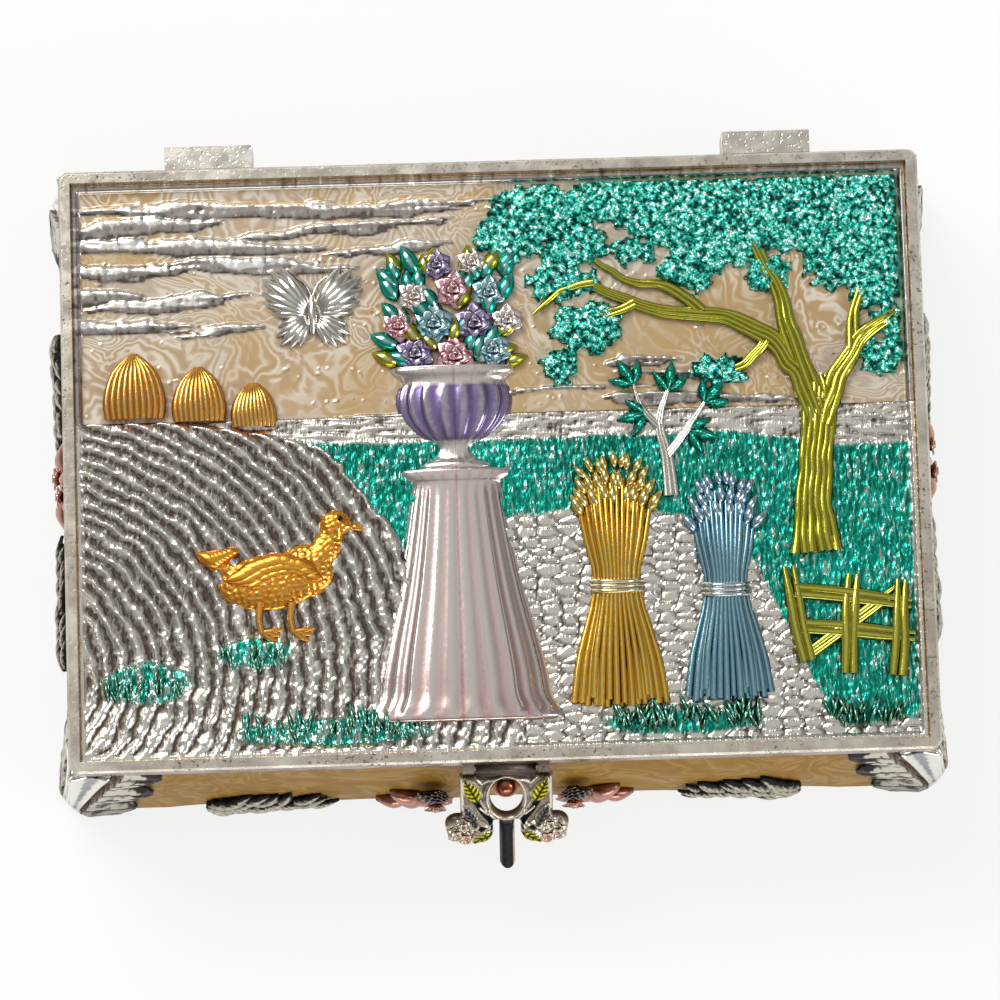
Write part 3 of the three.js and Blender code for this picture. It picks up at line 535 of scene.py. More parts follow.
# %% [markdown]
# ## Noise that the shapes share
#
# The relief's grass, furrows, cobbles and clouds are heights, so their noise has to be worked out for
# points of a mesh and not in a shader. Whole-number grid points get a fixed random value, and the
# value between them is blended. Cell noise gives the distance to the nearest joint between cobbles.

# %% Noise for shapes
def lattice(x, y, seed):
    mixed = (x.astype(np.int64) * 374761393 + y.astype(np.int64) * 668265263 + seed * 974634777) & 0xFFFFFFFF
    mixed = ((mixed ^ (mixed >> 13)) * 1274126177) & 0xFFFFFFFF
    return ((mixed ^ (mixed >> 16)) & 0xFFFFFF) / 0xFFFFFF


def ease(t):
    t = np.clip(t, 0, 1)
    return t * t * (3 - 2 * t)


def drift(x, y, seed=0, layers=1):
    total, share, weight = np.zeros_like(x), 0.0, 1.0
    for layer in range(layers):
        x0, y0 = np.floor(x), np.floor(y)
        u, v = ease(x - x0), ease(y - y0)
        low = lattice(x0, y0, seed) * (1 - u) + lattice(x0 + 1, y0, seed) * u
        high = lattice(x0, y0 + 1, seed) * (1 - u) + lattice(x0 + 1, y0 + 1, seed) * u
        total += weight * (low * (1 - v) + high * v)
        share += weight
        x, y, weight, seed = x * 2.03, y * 2.03, weight * 0.5, seed + 17
    return total / share


def stones(x, y, seed=0):
    """Nearest and second nearest cell centre, and the nearest cell's random number."""
    near, next_near, number = np.full(x.shape, 9.0), np.full(x.shape, 9.0), np.zeros_like(x)
    x0, y0 = np.floor(x), np.floor(y)
    for i in (-1, 0, 1):
        for j in (-1, 0, 1):
            cx, cy = x0 + i, y0 + j
            away = np.hypot(cx + 0.15 + 0.7 * lattice(cx, cy, seed) - x,
                            cy + 0.15 + 0.7 * lattice(cx, cy, seed + 5) - y)
            closer = away < near
            next_near = np.where(closer, near, np.minimum(next_near, away))
            number = np.where(closer, lattice(cx, cy, seed + 9), number)
            near = np.where(closer, away, near)
    return near, next_near, number


print("noise at (0.3, 0.7): %.3f" % drift(np.array([0.3]), np.array([0.7]), 1)[0])

# %% [markdown]
# ## The relief picture
#
# The floor of the lid's tray is one plated casting with a shallow landscape on it. It is made as two
# fine grids whose points are lifted by height functions: the sky with its silver cloud streaks, and
# the land with furrows, meadow and cobbles. A grid step of a quarter of a millimetre is enough for
# the finest ribs. Bolder things such as the tree and the flowers are pieces of their own on top.

# %% Shapes that stamp the picture
LAND_TOP = 7.0
GRID_STEP = 0.25
FIELD_GROWTH = 0.27

CLOUDS = [(-34, 38.5, 30, 1.3, -0.02), (-52, 36.2, 13, 1.6, 0.06), (-22, 35.4, 17, 1.1, 0.05),
          (-45, 33.0, 22, 1.5, -0.04), (-15, 32.0, 10, 0.8, 0.08), (-55, 29.6, 11, 1.3, 0.03),
          (-34, 30.0, 15, 1.0, -0.05), (-58, 25.8, 7, 1.5, 0.0), (-48, 24.6, 13, 1.0, 0.08),
          (-55, 21.3, 12, 1.2, -0.03), (-40, 20.2, 7, 0.7, 0.1), (-8, 38.8, 9, 0.9, 0.03)]
HORIZON_STREAKS = [(18, 6.2, 18, 0.8, 0.02), (30, 8.4, 15, 0.8, -0.02), (12, 10.4, 12, 0.6, 0.03),
                   (27, 12.4, 10, 0.6, -0.04), (22, 14.2, 6, 0.5, 0.02), (-14, 7.2, 9, 0.6, 0.03)]


def streaks(x, y, list_of, seed):
    """How far a point is inside any of the lens-shaped strokes, from 0 to 1, and how high in it."""
    most, upper = np.zeros_like(x), np.zeros_like(x)
    wave = (drift(x * 0.16, y * 0.9, seed, 3) - 0.5) * 2.2
    for cx, cy, length, width, turn in list_of:
        u = (x - cx) * math.cos(turn) + (y - cy) * math.sin(turn)
        v = (y - cy) * math.cos(turn) - (x - cx) * math.sin(turn) + wave
        reach = np.clip(1 - (u / length) ** 2, 0, 1) ** 0.7
        across = v / (width * reach + 0.01)
        upper = np.where(1 - across ** 2 > most, across, upper)
        most = np.maximum(most, 1 - across ** 2)
    return np.clip(most, 0, 1), upper


def sky_shape(x, y):
    clouds, cloud_side = streaks(x, y, CLOUDS, 3)
    low_streaks, low_side = streaks(x, y, HORIZON_STREAKS, 8)
    silver_part = np.maximum(clouds, low_streaks)
    side = np.where(clouds >= low_streaks, cloud_side, low_side)
    edge = np.minimum(HALF_X - np.abs(x), HALF_Y - np.abs(y))
    lip = ease((1.0 - edge) / 0.6)
    beads = drift(x * 1.9, y * 0.8, 21, 2) - 0.5
    height = 0.5 * np.sqrt(silver_part) * (0.75 + 0.3 * side) + 0.16 * beads * (silver_part > 0)
    height = np.maximum(height, 0.75 * lip) + 0.05 * drift(x * 0.2, y * 0.2, 4)
    # Painted highlight along the upper edge of each cloud stroke and painted shade along its lower edge.
    rise = np.clip(0.36 + 0.6 * ease(side * 1.6 + 0.15) - 0.4 * ease(-3 * side - 1.6) + 0.9 * beads, 0, 1)
    cover = 1 - ease(np.maximum(silver_part * 6, lip * 3))
    return height, rise, cover


print("cloud strokes:", len(CLOUDS) + len(HORIZON_STREAKS))

# %% [markdown]
# The land's parts are told apart by curves: the furrowed hill rises on the left, the meadow lies on
# the right and runs along the middle as a band, and the cobbled path takes the rest. Each part has
# its own height pattern, and soft masks carry the lacquer's colour from one to the next.

# %% The land
TEAL = (0.016, 0.46, 0.375)
DEEP_TEAL = (0.003, 0.24, 0.185)


def inside(distance, soft=0.35):
    return ease(0.5 - distance / (2 * soft))


def hill_edge(x):
    return 4.5 + 3.0 * np.exp(-((x + 55) / 16) ** 2) - 3.5 * ease((x + 38) / 22)


def land_shape(x, y):
    wander = (drift(x * 0.35, y * 0.35, 31, 2) - 0.5) * 2.4
    hill = inside((y - hill_edge(x)), 0.3) * inside(x + 12 + 0.75 * (y + 34) * (y > -34) - 14 + wander, 0.5)
    meadow_top = 3.2 - 2.2 * ease((x - 34) / 20) + wander * 0.3
    meadow_foot = -11.5 + 4.0 * np.sin((x + 8) / 14) - 24 * ease((x - 33) / 17) + wander
    meadow = inside(y - meadow_top) * inside(meadow_foot - y) * (1 - hill)
    ponds = np.zeros_like(x)
    for cx, cy, rx, ry in ((-52, -31.5, 6.5, 3.0), (-36, -27.5, 5.5, 2.2), (53, -37.6, 6.6, 2.8), (26, -39.2, 11.5, 1.7), (-25, -39.4, 13.5, 1.9)):
        ponds = np.maximum(ponds, inside((np.hypot((x - cx) / rx, (y - cy) / ry) - 1) * ry + wander * 0.3))
    green = np.maximum(meadow, ponds)
    away = np.hypot(x + 78, (y + 30) * 1.25)
    furrow = 0.5 + 0.5 * np.cos(2 * math.pi * (away + wander * 0.6 + 0.5 * drift(x * 0.9, y * 0.9, 44, 2)) / 2.3)
    clods = drift(x * 1.1 + y * 0.6, y * 1.7 - x * 0.8, 41, 3)
    near, after, number = stones(x / 2.9 + wander * 0.1, y / 1.45, 6)
    cobble = ease((after - near) / 0.24) * (0.55 + 0.45 * number)
    blades = drift(x * 2.6 + wander, y * 0.75, 51, 2)
    grass = np.abs(2 * (blades - 0.5)) ** 0.7
    edge = np.minimum(HALF_X - np.abs(x), HALF_Y - np.abs(y))
    lip = ease((1.0 - edge) / 0.6)
    water = inside(meadow_top - y, 0.2) * (1 - hill)
    ripples = np.abs(2 * drift(x * 0.22 + 0.3 * y, y * 1.9, 66, 2) - 1) ** 0.6
    path = (1 - green) * (1 - hill) * (1 - water)
    height = (water * (0.15 + 0.45 * ripples) + hill * (0.30 + 0.42 * furrow * (0.5 + 0.8 * clods)) + path * (0.12 + 0.42 * cobble)
              + green * (0.28 + 0.40 * grass) + 0.3 * hill)
    height = np.maximum(height, 0.95 * lip)
    rise = hill * (0.05 + 0.95 * furrow * (0.15 + 1.3 * clods)) + water * (0.1 + 0.9 * ripples) + path * (0.10 + 0.8 * cobble) + green * (0.34 + 0.3 * grass)
    rise = np.clip(rise + 0.25 * (drift(x * 3, y * 3, 61, 2) - 0.5), 0, 1)
    cover = green * (1 - ease(lip * 3))
    return height, np.maximum(rise, lip * 0.8), cover


def relief_sheet(name, low_y, high_y, shape, colour_of, finish):
    """One sheet of the picture, widened at its rim by FIELD_GROWTH so that it meets the frame."""
    bm = bmesh.new()
    low_y -= FIELD_GROWTH * (low_y == -HALF_Y)
    high_y += FIELD_GROWTH * (high_y == HALF_Y)
    width = 2 * (HALF_X + FIELD_GROWTH)
    columns, rows = round(width / GRID_STEP), round((high_y - low_y) / GRID_STEP)
    bmesh.ops.create_grid(bm, x_segments=columns, y_segments=rows, size=0.5)
    bmesh.ops.transform(bm, matrix=placed(0, (low_y + high_y) / 2, 0, scale=(width, high_y - low_y, 1)),
                        verts=bm.verts)
    lacquer, rise_layer = paint_layers(bm)
    x = np.array([vert.co.x for vert in bm.verts])
    y = np.array([vert.co.y for vert in bm.verts])
    height, rise, cover = shape(x, y)
    colours = colour_of(x, y)
    for i, vert in enumerate(bm.verts):
        vert.co.z = FIELD_Z + height[i]
        vert.co.y += MIDDLE_Y
        vert[rise_layer] = rise[i]
        vert[lacquer] = (*colours[i], cover[i])
    close_below(bm, FIELD_Z - plate_low.z)
    return finish_piece(name, bm, finish, "lid", ["picture_plate"])


def land_colour(x, y):
    mixed = drift(x * 0.12, y * 0.12, 71, 2)[:, None]
    return np.array(TEAL) * mixed * 2 * 0.5 + np.array(DEEP_TEAL) * (1 - mixed) + np.array(TEAL) * 0.1


picture_land = relief_sheet("picture_land", -HALF_Y, LAND_TOP, land_shape, land_colour, land_paint)

# %% [markdown]
# The sky is pearl enamel with bare silver clouds standing out of it. One finish does both: the cover
# number turns the metal off where enamel lies, and the swirled colour only shows there.

# %% The sky
def sky_finish():
    made = Finish("pearl_sky", Coat_Weight=0.8, Coat_Roughness=0.06)
    cover = made.attribute("lacquer", "Alpha")
    rise = made.attribute("rise", "Fac")
    flow = marbled(made, 38, 48, 0.03)
    curl = made.noise(150, 2, 1.2, vector=bent(made, 90, 0.012))
    wave = made.calc("SINE", made.calc("MULTIPLY", made.calc("ADD", flow, made.calc("MULTIPLY", curl, 0.22)), 98.0))
    wave = made.calc("ADD", made.calc("MULTIPLY", wave, 0.5), 0.5)
    ground = made.ramp(made.calc("ADD", flow, made.calc("MULTIPLY", made.noise(34, 2), 0.8)),
                       (0.74, (0.50, 0.335, 0.150)), (0.86, (0.53, 0.39, 0.235)), (0.99, (0.54, 0.455, 0.355)))
    many = made.ramp(made.noise(70, 2), (0.38, 0.2), (0.58, 1.0))
    enamel = made.blend(made.calc("MULTIPLY", made.ramp(wave, (0.0, 0.55), (0.3, 0.0)), many), ground, (0.41, 0.26, 0.11))
    enamel = made.blend(made.calc("MULTIPLY", made.ramp(wave, (0.42, 0.0), (0.98, 0.85)), many), enamel, (0.76, 0.69, 0.585))
    grain = made.calc("ADD", rise, made.calc("MULTIPLY", made.calc("SUBTRACT", made.noise(1400, 3), 0.5), 0.35))
    bare = made.ramp(grain, (0.06, (0.13, 0.105, 0.09)), (0.3, (0.42, 0.375, 0.345)), (0.58, (0.45, 0.41, 0.38)), (0.76, (0.86, 0.84, 0.80)))
    made.colour(made.blend(cover, bare, enamel))
    made.feed(made.shader, "Metallic", made.calc("SUBTRACT", 1.0, made.calc("MULTIPLY", cover, 0.75)))
    made.rough(made.blend(cover, (0.24, 0.24, 0.24), (0.3, 0.3, 0.3)))
    made.bump(made.noise(900, 3), 0.15, 0.06)
    return made.material


picture_sky = relief_sheet("picture_sky", LAND_TOP, HALF_Y, sky_shape,
                           lambda x, y: np.ones((len(x), 3)), sky_finish())

# %% [markdown]
# ## The tree
#
# The trunk and limbs are bundles of thick lines, like cords laid side by side, which is how such
# reliefs show bark. Each cord is one spline of a curve with a round section that swells and tapers.
# The curve is turned to a mesh once, and the cords stand about a millimetre proud.

# %% Cords laid side by side
def smooth_line(points, steps=4):
    """Adds points between the given ones on a curve that passes through each of them."""
    out = []
    for i in range(len(points) - 1):
        p0, p1 = points[max(i - 1, 0)], points[i]
        p2, p3 = points[i + 1], points[min(i + 2, len(points) - 1)]
        for k in range(steps):
            t = k / steps
            out.append(tuple(0.5 * (2 * b + (c - a) * t + (2 * a - 5 * b + 4 * c - d) * t * t
                                    + (3 * b - a - 3 * c + d) * t ** 3)
                             for a, b, c, d in zip(p0, p1, p2, p3)))
    return out + [points[-1]]


def cords_mesh(splines, smoothness=1, steps=3):
    curve = bpy.data.curves.new("cords", "CURVE")
    curve.dimensions = "3D"
    curve.bevel_depth = 1.0
    curve.bevel_resolution = smoothness
    curve.use_fill_caps = True
    for points, radii in splines:
        line = smooth_line([(*point, radius) for point, radius in zip(points, radii)], steps)
        spline = curve.splines.new("POLY")
        spline.points.add(len(line) - 1)
        for point, (x, y, z, radius) in zip(spline.points, line):
            point.co = (x, y, z, 1)
            point.radius = radius
    holder = new_object("cords", curve)
    bpy.context.view_layer.update()
    mesh = bpy.data.meshes.new_from_object(holder.evaluated_get(bpy.context.evaluated_depsgraph_get()))
    bpy.data.objects.remove(holder)
    return mesh


def bundle(path, widths, count, base=0.35, top=1.0, seed=1):
    """Splits a limb into cords: each follows the path at its own offset, the middle ones higher."""
    dice = random.Random(seed)
    splines = []
    for i in range(count):
        across = (i + 0.5) / count * 2 - 1
        points, radii = [], []
        for j, ((x, y), width) in enumerate(zip(path, widths)):
            ahead = Vector(path[min(j + 1, len(path) - 1)]) - Vector(path[max(j - 1, 0)])
            sideways = Vector((-ahead.y, ahead.x)).normalized()
            shift = across * width / 2 + dice.uniform(-0.12, 0.12) * width / count
            lift = base + top * math.sqrt(max(0.0, 1 - across * across)) * min(1.0, width / 4 + 0.35)
            points.append((x + sideways.x * shift, y + sideways.y * shift, lift))
            radii.append(width / count * dice.uniform(0.52, 0.74) + 0.08)
        radii[-1] *= 0.5
        splines.append((points, radii))
    return splines


def wavy(points, seed=0, amount=0.5, steps=3):
    """Adds gently wandering points between the given ones."""
    dice = random.Random(seed)
    out = []
    for (x0, y0), (x1, y1) in zip(points, points[1:]):
        for k in range(steps):
            t = k / steps
            out.append((x0 + (x1 - x0) * t + dice.uniform(-amount, amount) * (k > 0),
                        y0 + (y1 - y0) * t + dice.uniform(-amount, amount) * (k > 0)))
    return out + [points[-1]]


LIMBS = [([(46.5, -15), (46.2, -8), (46.8, -1), (47.6, 6), (47.2, 11)], (7.5, 5.4, 4.8, 5.0, 3.6), 6),
         ([(47.4, 5), (45, 12), (41, 17), (34, 20.5), (25, 21.5), (17, 24.5), (10, 29)], (3.4, 3.2, 2.8, 2.2, 1.7, 1.3, 0.8), 4),
         ([(48, 4), (50.5, 11), (54, 16.5), (59.5, 20.5)], (3.2, 2.8, 2.2, 1.4), 3),
         ([(46.6, 9), (44, 17), (42, 25), (38, 33), (36, 39)], (3.0, 2.6, 2.0, 1.4, 0.8), 3),
         ([(53, 15), (53.5, 21), (55.5, 28)], (1.9, 1.4, 0.8), 2),
         ([(31, 21.2), (26, 25), (19.5, 26.5), (15, 30)], (1.6, 1.3, 0.9, 0.5), 2),
         ([(21, 22.8), (15.5, 20.5), (11, 16.5)], (1.4, 1.0, 0.6), 2),
         ([(40.5, 17.2), (37, 13.2), (33.4, 11.5)], (1.5, 1.1, 0.6), 2),
         ([(15, 26), (10, 25), (6, 21.5)], (1.0, 0.8, 0.4), 1)]
OLIVE = (0.46, 0.45, 0.022)
trunk_splines = []
for number, (path, widths, count) in enumerate(LIMBS):
    fine = wavy(path, number, 0.25)
    spread = list(np.interp(np.linspace(0, 1, len(fine)), np.linspace(0, 1, len(widths)), widths))
    trunk_splines += bundle(fine, spread, count, seed=number)
trunk_mesh = cords_mesh(trunk_splines)
tree = bmesh.new()
stamp(tree, trunk_mesh, placed(0, MIDDLE_Y, FIELD_Z))
paint_cords(tree, tree.verts, OLIVE)
tree_trunk = finish_piece("tree_trunk", tree, olive_wood, "lid")

# %% [markdown]
# The crown is not single leaves but a crinkled mass, in clumps with ragged edges. A fine grid is
# lifted into swollen clumps with a creased surface, everything outside the ragged outline is cut
# away, and the rim is drawn down into the sky so that the clump is a closed body.

# %% Leaf clumps
CLUMPS = [(27, 37, 9, 6.5), (36, 35, 8, 7.5), (46, 36, 10, 7), (56, 35, 7, 8.5), (18, 38.5, 8, 4.5), (8, 37, 8, 4.8),
          (3, 33, 5.5, 4), (13, 32, 5.5, 4), (57, 26, 5.5, 5.5), (51, 28, 5, 4), (29, 28, 5, 3.6), (41, 27, 4, 3.4),
          (10.5, 26.5, 5.5, 3.4), (14, 19.5, 5.5, 4.2), (10, 14, 3.4, 3.2), (57.5, 14, 4, 3), (33, 12.5, 4.5, 2.5),
          (58.5, 19.5, 3, 2.5), (21, 31, 4, 2.6)]


def relief_patch(name, box, step, shape, finish, root=0.3):
    x0, x1, y0, y1 = box
    bm = bmesh.new()
    bmesh.ops.create_grid(bm, x_segments=round((x1 - x0) / step), y_segments=round((y1 - y0) / step), size=0.5)
    middle = placed((x0 + x1) / 2, (y0 + y1) / 2, 0, scale=(x1 - x0, y1 - y0, 1))
    bmesh.ops.transform(bm, matrix=middle, verts=bm.verts)
    x = np.array([vert.co.x for vert in bm.verts])
    y = np.array([vert.co.y for vert in bm.verts])
    mask, height, rise, colours, cover = shape(x, y)
    lacquer, rise_layer = paint_layers(bm)
    for i, vert in enumerate(bm.verts):
        vert.co.y += MIDDLE_Y
        vert.co.z = FIELD_Z + height[i]
        vert[rise_layer] = rise[i]
        vert[lacquer] = (*colours[i], cover[i])
    outside = [vert for i, vert in enumerate(bm.verts) if mask[i] <= 0]
    bmesh.ops.delete(bm, geom=outside, context="VERTS")
    bmesh.ops.delete(bm, geom=[vert for vert in bm.verts if not vert.link_faces], context="VERTS")
    for vert in bm.verts:
        if vert.is_boundary:
            vert.co.z = FIELD_Z
    close_below(bm, root)
    return finish_piece(name, bm, finish, "lid")


def crown_finish():
    """Fine curled beads of teal lacquer, with painted shade near black between them and a painted highlight almost
    white on their tops.
    """
    made = Finish("leafy_teal", Metallic=1.0, Coat_Weight=0.3, Coat_Roughness=0.12)
    rise = made.attribute("rise", "Fac")
    beads = made.cells(1150, vector=bent(made, 1500, 0.0009))
    curls = made.noise(1700, 2, 1.0)
    height = made.calc("ADD", made.calc("SUBTRACT", made.calc("MULTIPLY", curls, 1.1), made.calc("MULTIPLY", beads, 0.75)),
                       made.calc("MULTIPLY", rise, 0.28))
    made.colour(made.ramp(height, (0.06, (0.0006, 0.03, 0.022)), (0.20, (0.004, 0.21, 0.155)), (0.33, (0.014, 0.48, 0.37)),
                          (0.45, (0.16, 0.74, 0.62)), (0.56, (0.74, 0.95, 0.90))))
    made.rough(made.ramp(height, (0.2, 0.4), (0.6, 0.2)))
    made.bump(height, 0.9, 0.22)
    return made.material


def crown_shape(x, y):
    ragged = (drift(0.8 * x + 0.4 * y, 0.8 * y - 0.4 * x, 81, 2) - 0.5) * 2.4
    ragged += (drift(2.1 * x - 1.2 * y, 2.1 * y + 1.2 * x, 82) - 0.5) * 0.8
    mask, swell = np.full(x.shape, -9.0), np.zeros_like(x)
    for cx, cy, rx, ry in CLUMPS:
        depth = (1 - np.hypot((x - cx) / rx, (y - cy) / ry)) * min(rx, ry) + ragged
        mask = np.maximum(mask, depth)
        swell = np.maximum(swell, np.sqrt(np.clip(depth / 4, 0, 1)))
    mask = np.minimum(mask, np.minimum(HALF_X - 0.9 - np.abs(x), HALF_Y - 0.9 - np.abs(y)))
    near, after, number = stones(x * 0.95 + ragged * 0.2, y * 0.95, 12)
    curl = np.abs(drift(x * 2.3, y * 2.3, 83, 2) - 0.5) * 2
    leaf = (1 - near) * 0.6 + 0.55 * curl
    height = 0.35 + 0.95 * swell + 0.75 * leaf * (0.4 + 0.6 * swell)
    rise = np.clip(leaf * 0.95 + 0.25 * number - 0.12, 0, 1)
    # The lacquer colour is lighter where a clump swells higher, a painted highlight.
    tone = np.clip(0.3 + 0.5 * swell + 0.5 * (leaf - 0.5), 0, 1)[:, None]
    colours = np.array(DEEP_TEAL) * (1 - tone) + np.array((0.008, 0.45, 0.35)) * tone
    return mask, height, rise, colours, np.ones_like(x)


tree_crown = relief_patch("tree_crown", (-4, 61.5, 9, 42.4), 0.26, crown_shape, crown_finish())

# %% [markdown]
# ## The garden urn
#
# A fluted urn on a tall pleated pedestal stands in the middle. It is turned: a profile is spun once
# round the picture's upright axis, and the flutes are pressed in by moving each point in or out with
# its angle. The whole is then flattened to the depth of the tray, as relief sculptors do.

# %% Urn and pedestal
ROSE = (0.62, 0.40, 0.40)
PALE_ROSE = (0.70, 0.56, 0.55)
LAVENDER = (0.20, 0.13, 0.36)


def turned(profile, flutes, depth_of, press, sides=96):
    """Spins (radius, height) points round the y axis and presses flutes into them."""
    bm = bmesh.new()
    verts = [bm.verts.new((radius, height, 0)) for radius, height in profile]
    edges = [bm.edges.new(pair) for pair in zip(verts, verts[1:])]
    bmesh.ops.spin(bm, geom=verts + edges, cent=(0, 0, 0), axis=(0, 1, 0), angle=2 * math.pi, steps=sides,
                   use_merge=True)
    bmesh.ops.remove_doubles(bm, verts=bm.verts, dist=1e-4)
    for vert in bm.verts:
        angle = math.atan2(vert.co.z, vert.co.x)
        radius = math.hypot(vert.co.x, vert.co.z)
        pressed = 1 + depth_of(vert.co.y) * (abs(math.cos(flutes * angle / 2)) - 0.6)
        vert.co = (vert.co.x * pressed, vert.co.y, vert.co.z * pressed * press)
    bmesh.ops.recalc_face_normals(bm, faces=bm.faces)
    return bm


URN_X = -6.0
PEDESTAL = [(0, -38.5), (13.2, -38.3), (14.2, -36.8), (13.0, -34.6), (12.4, -31), (11.2, -26), (9.6, -20), (8.2, -13.5),
            (7.2, -8), (6.6, -3.5), (7.4, -2.6), (8.0, -1.8), (7.2, -1.0), (0, -0.9)]
BOWL = [(0, -1.2), (4.6, -1.1), (5.0, -0.3), (3.2, 0.6), (2.6, 2.0), (3.6, 3.0), (5.6, 4.2), (7.6, 6.6), (8.2, 9.4),
        (7.6, 11.6), (7.9, 12.4), (9.0, 13.2), (9.1, 13.9), (8.2, 14.2), (0, 14.0)]
urn = turned(smooth_line(PEDESTAL), 26, lambda y: 0.10 if -37 < y < -3.5 else 0.0, 0.17)
paint(urn, urn.verts, ROSE, 0.8, 0.6)
for vert in urn.verts:
    lacquer_layer, rise_layer = paint_layers(urn)
    fold = abs(math.cos(26 * math.atan2(vert.co.z / 0.17, vert.co.x) / 2))
    fade = min(1.0, max(0.0, (-22 - vert.co.y) / 14))
    tint = Vector(PALE_ROSE).lerp(Vector(ROSE), 0.25 + 0.75 * fade)
    vert[lacquer_layer] = (*tint, 0.75 if fold < 0.75 else 0.4)
    vert[rise_layer] = 0.25 + 0.75 * fold
urn_mesh = as_template("pedestal", urn)
bowl = turned(smooth_line(BOWL), 18, lambda y: 0.12 if 3.2 < y < 11.4 else 0.0, 0.24)
paint(bowl, bowl.verts, LAVENDER, 0.9, 0.6)
lacquer_layer, rise_layer = paint_layers(bowl)
for vert in bowl.verts:
    fold = abs(math.cos(18 * math.atan2(vert.co.z / 0.24, vert.co.x) / 2))
    vert[rise_layer] = 0.3 + 0.6 * fold
    vert[lacquer_layer] = (*LAVENDER, 0.9) if 3.0 < vert.co.y < 11.5 else (*PALE_ROSE, 0.4)
bowl_mesh = as_template("bowl", bowl)
urn = bmesh.new()
stamp(urn, urn_mesh, placed(URN_X, MIDDLE_Y, FIELD_Z + 0.1))
stamp(urn, bowl_mesh, placed(URN_X, MIDDLE_Y, FIELD_Z + 0.1))
garden_urn = finish_piece("garden_urn", urn, relief_paint, "lid")

# %% [markdown]
# ## Flowers
#
# A rose is a few rings of overlapping petals that open outwards. One petal is a small domed leaf
# shape, and stamping it in three rings makes a rose template. A leaf is the same shape, longer and
# folded along its midrib. The bouquet, the sapling and the wreaths on the walls all use them.

# %% Petal, leaf and rose templates
def blade(name, length, width, fold, curl, across=4, along=8, thickness=0.18, lobes=0, bright_edge=False,
          point=0.75):
    """A leaf lying along +y from the origin, folded up along its midrib; a larger point is sharper."""
    bm = bmesh.new()
    bmesh.ops.create_grid(bm, x_segments=across, y_segments=along, size=0.5)
    layer = paint_layers(bm)[1]
    for vert in bm.verts:
        t = vert.co.y + 0.5
        swell = math.sin(math.pi * min(1, t ** 0.8)) ** point if 0 < t < 1 else 0
        side = vert.co.x * 2
        lobe = abs(math.cos(math.pi * lobes * (t - 0.16 * abs(side)))) if lobes else 1.0
        reach = width / 2 * swell * (0.58 + 0.42 * lobe)
        vert.co = (side * reach, t * length + 0.10 * abs(side) * (1 - lobe) * length,
                   fold * (1 - abs(side)) * swell + curl * math.sin(math.pi * t)
                   + 0.12 * abs(side) * (1 - abs(side)) * lobe)
        if bright_edge:
            vert[layer] = 0.1 + 0.85 * max(abs(side) * swell, (t - 0.55) / 0.45) ** 2
        else:
            vert[layer] = 0.9 - 0.55 * abs(side) - 0.45 * (1 - lobe)
    bmesh.ops.remove_doubles(bm, verts=bm.verts, dist=1e-4)
    rim = [edge for edge in bm.edges if edge.is_boundary]
    walled = bmesh.ops.extrude_edge_only(bm, edges=rim)["geom"]
    lower = [item for item in walled if isinstance(item, bmesh.types.BMVert)]
    for vert in lower:
        vert.co.z -= thickness
    foot = [item for item in walled if isinstance(item, bmesh.types.BMEdge) and item.is_boundary]
    bmesh.ops.edgeloop_fill(bm, edges=foot)
    bmesh.ops.recalc_face_normals(bm, faces=bm.faces)
    return as_template(name, bm)


veined_mesh = blade("veined", 1.0, 0.50, 0.14, 0.05, across=6, along=20, thickness=0.12, lobes=6, point=1.2)
leaf_mesh = blade("leaf", 1.0, 0.52, 0.14, 0.10, thickness=0.12)
petal_mesh = blade("petal", 1.0, 0.95, -0.12, 0.22, across=4, along=4, thickness=0.10)
scale_mesh = blade("scale", 1.0, 0.95, -0.10, 0.24, across=4, along=5, thickness=0.10, bright_edge=True)
frond_mesh = blade("frond", 1.0, 0.62, 0.10, 0.10, across=4, along=18, thickness=0.12, lobes=5)


def tinted(bm, verts, colour, cover=1.0):
    layer = paint_layers(bm)[0]
    for vert in verts:
        vert[layer] = (*colour, cover)


def rose(bm, x, y, z, size, colour, dice, rings=3, flat=1.0):
    for ring in range(rings):
        count = (6, 5, 3)[ring]
        reach = size * (1.0, 0.72, 0.42)[ring]
        for k in range(count):
            turn = 2 * math.pi * (k + 0.5 * ring) / count + dice.uniform(-0.15, 0.15)
            spread = (reach, reach, size * flat)
            new = stamp(bm, petal_mesh, placed(x, y, z + size * flat * 0.20 * ring, turn, spread, side=0.45 * flat * ring))
            tinted(bm, new, colour, 0.85 - 0.1 * ring)


def leaf(bm, x, y, z, length, turn, colour, cover=1.0, tip=0.0, fat=1.0, height=1.0, mesh=leaf_mesh):
    new = stamp(bm, mesh, placed(x, y, z, turn, (length * fat, length, length * height), side=tip))
    tinted(bm, new, colour, cover)
    return new


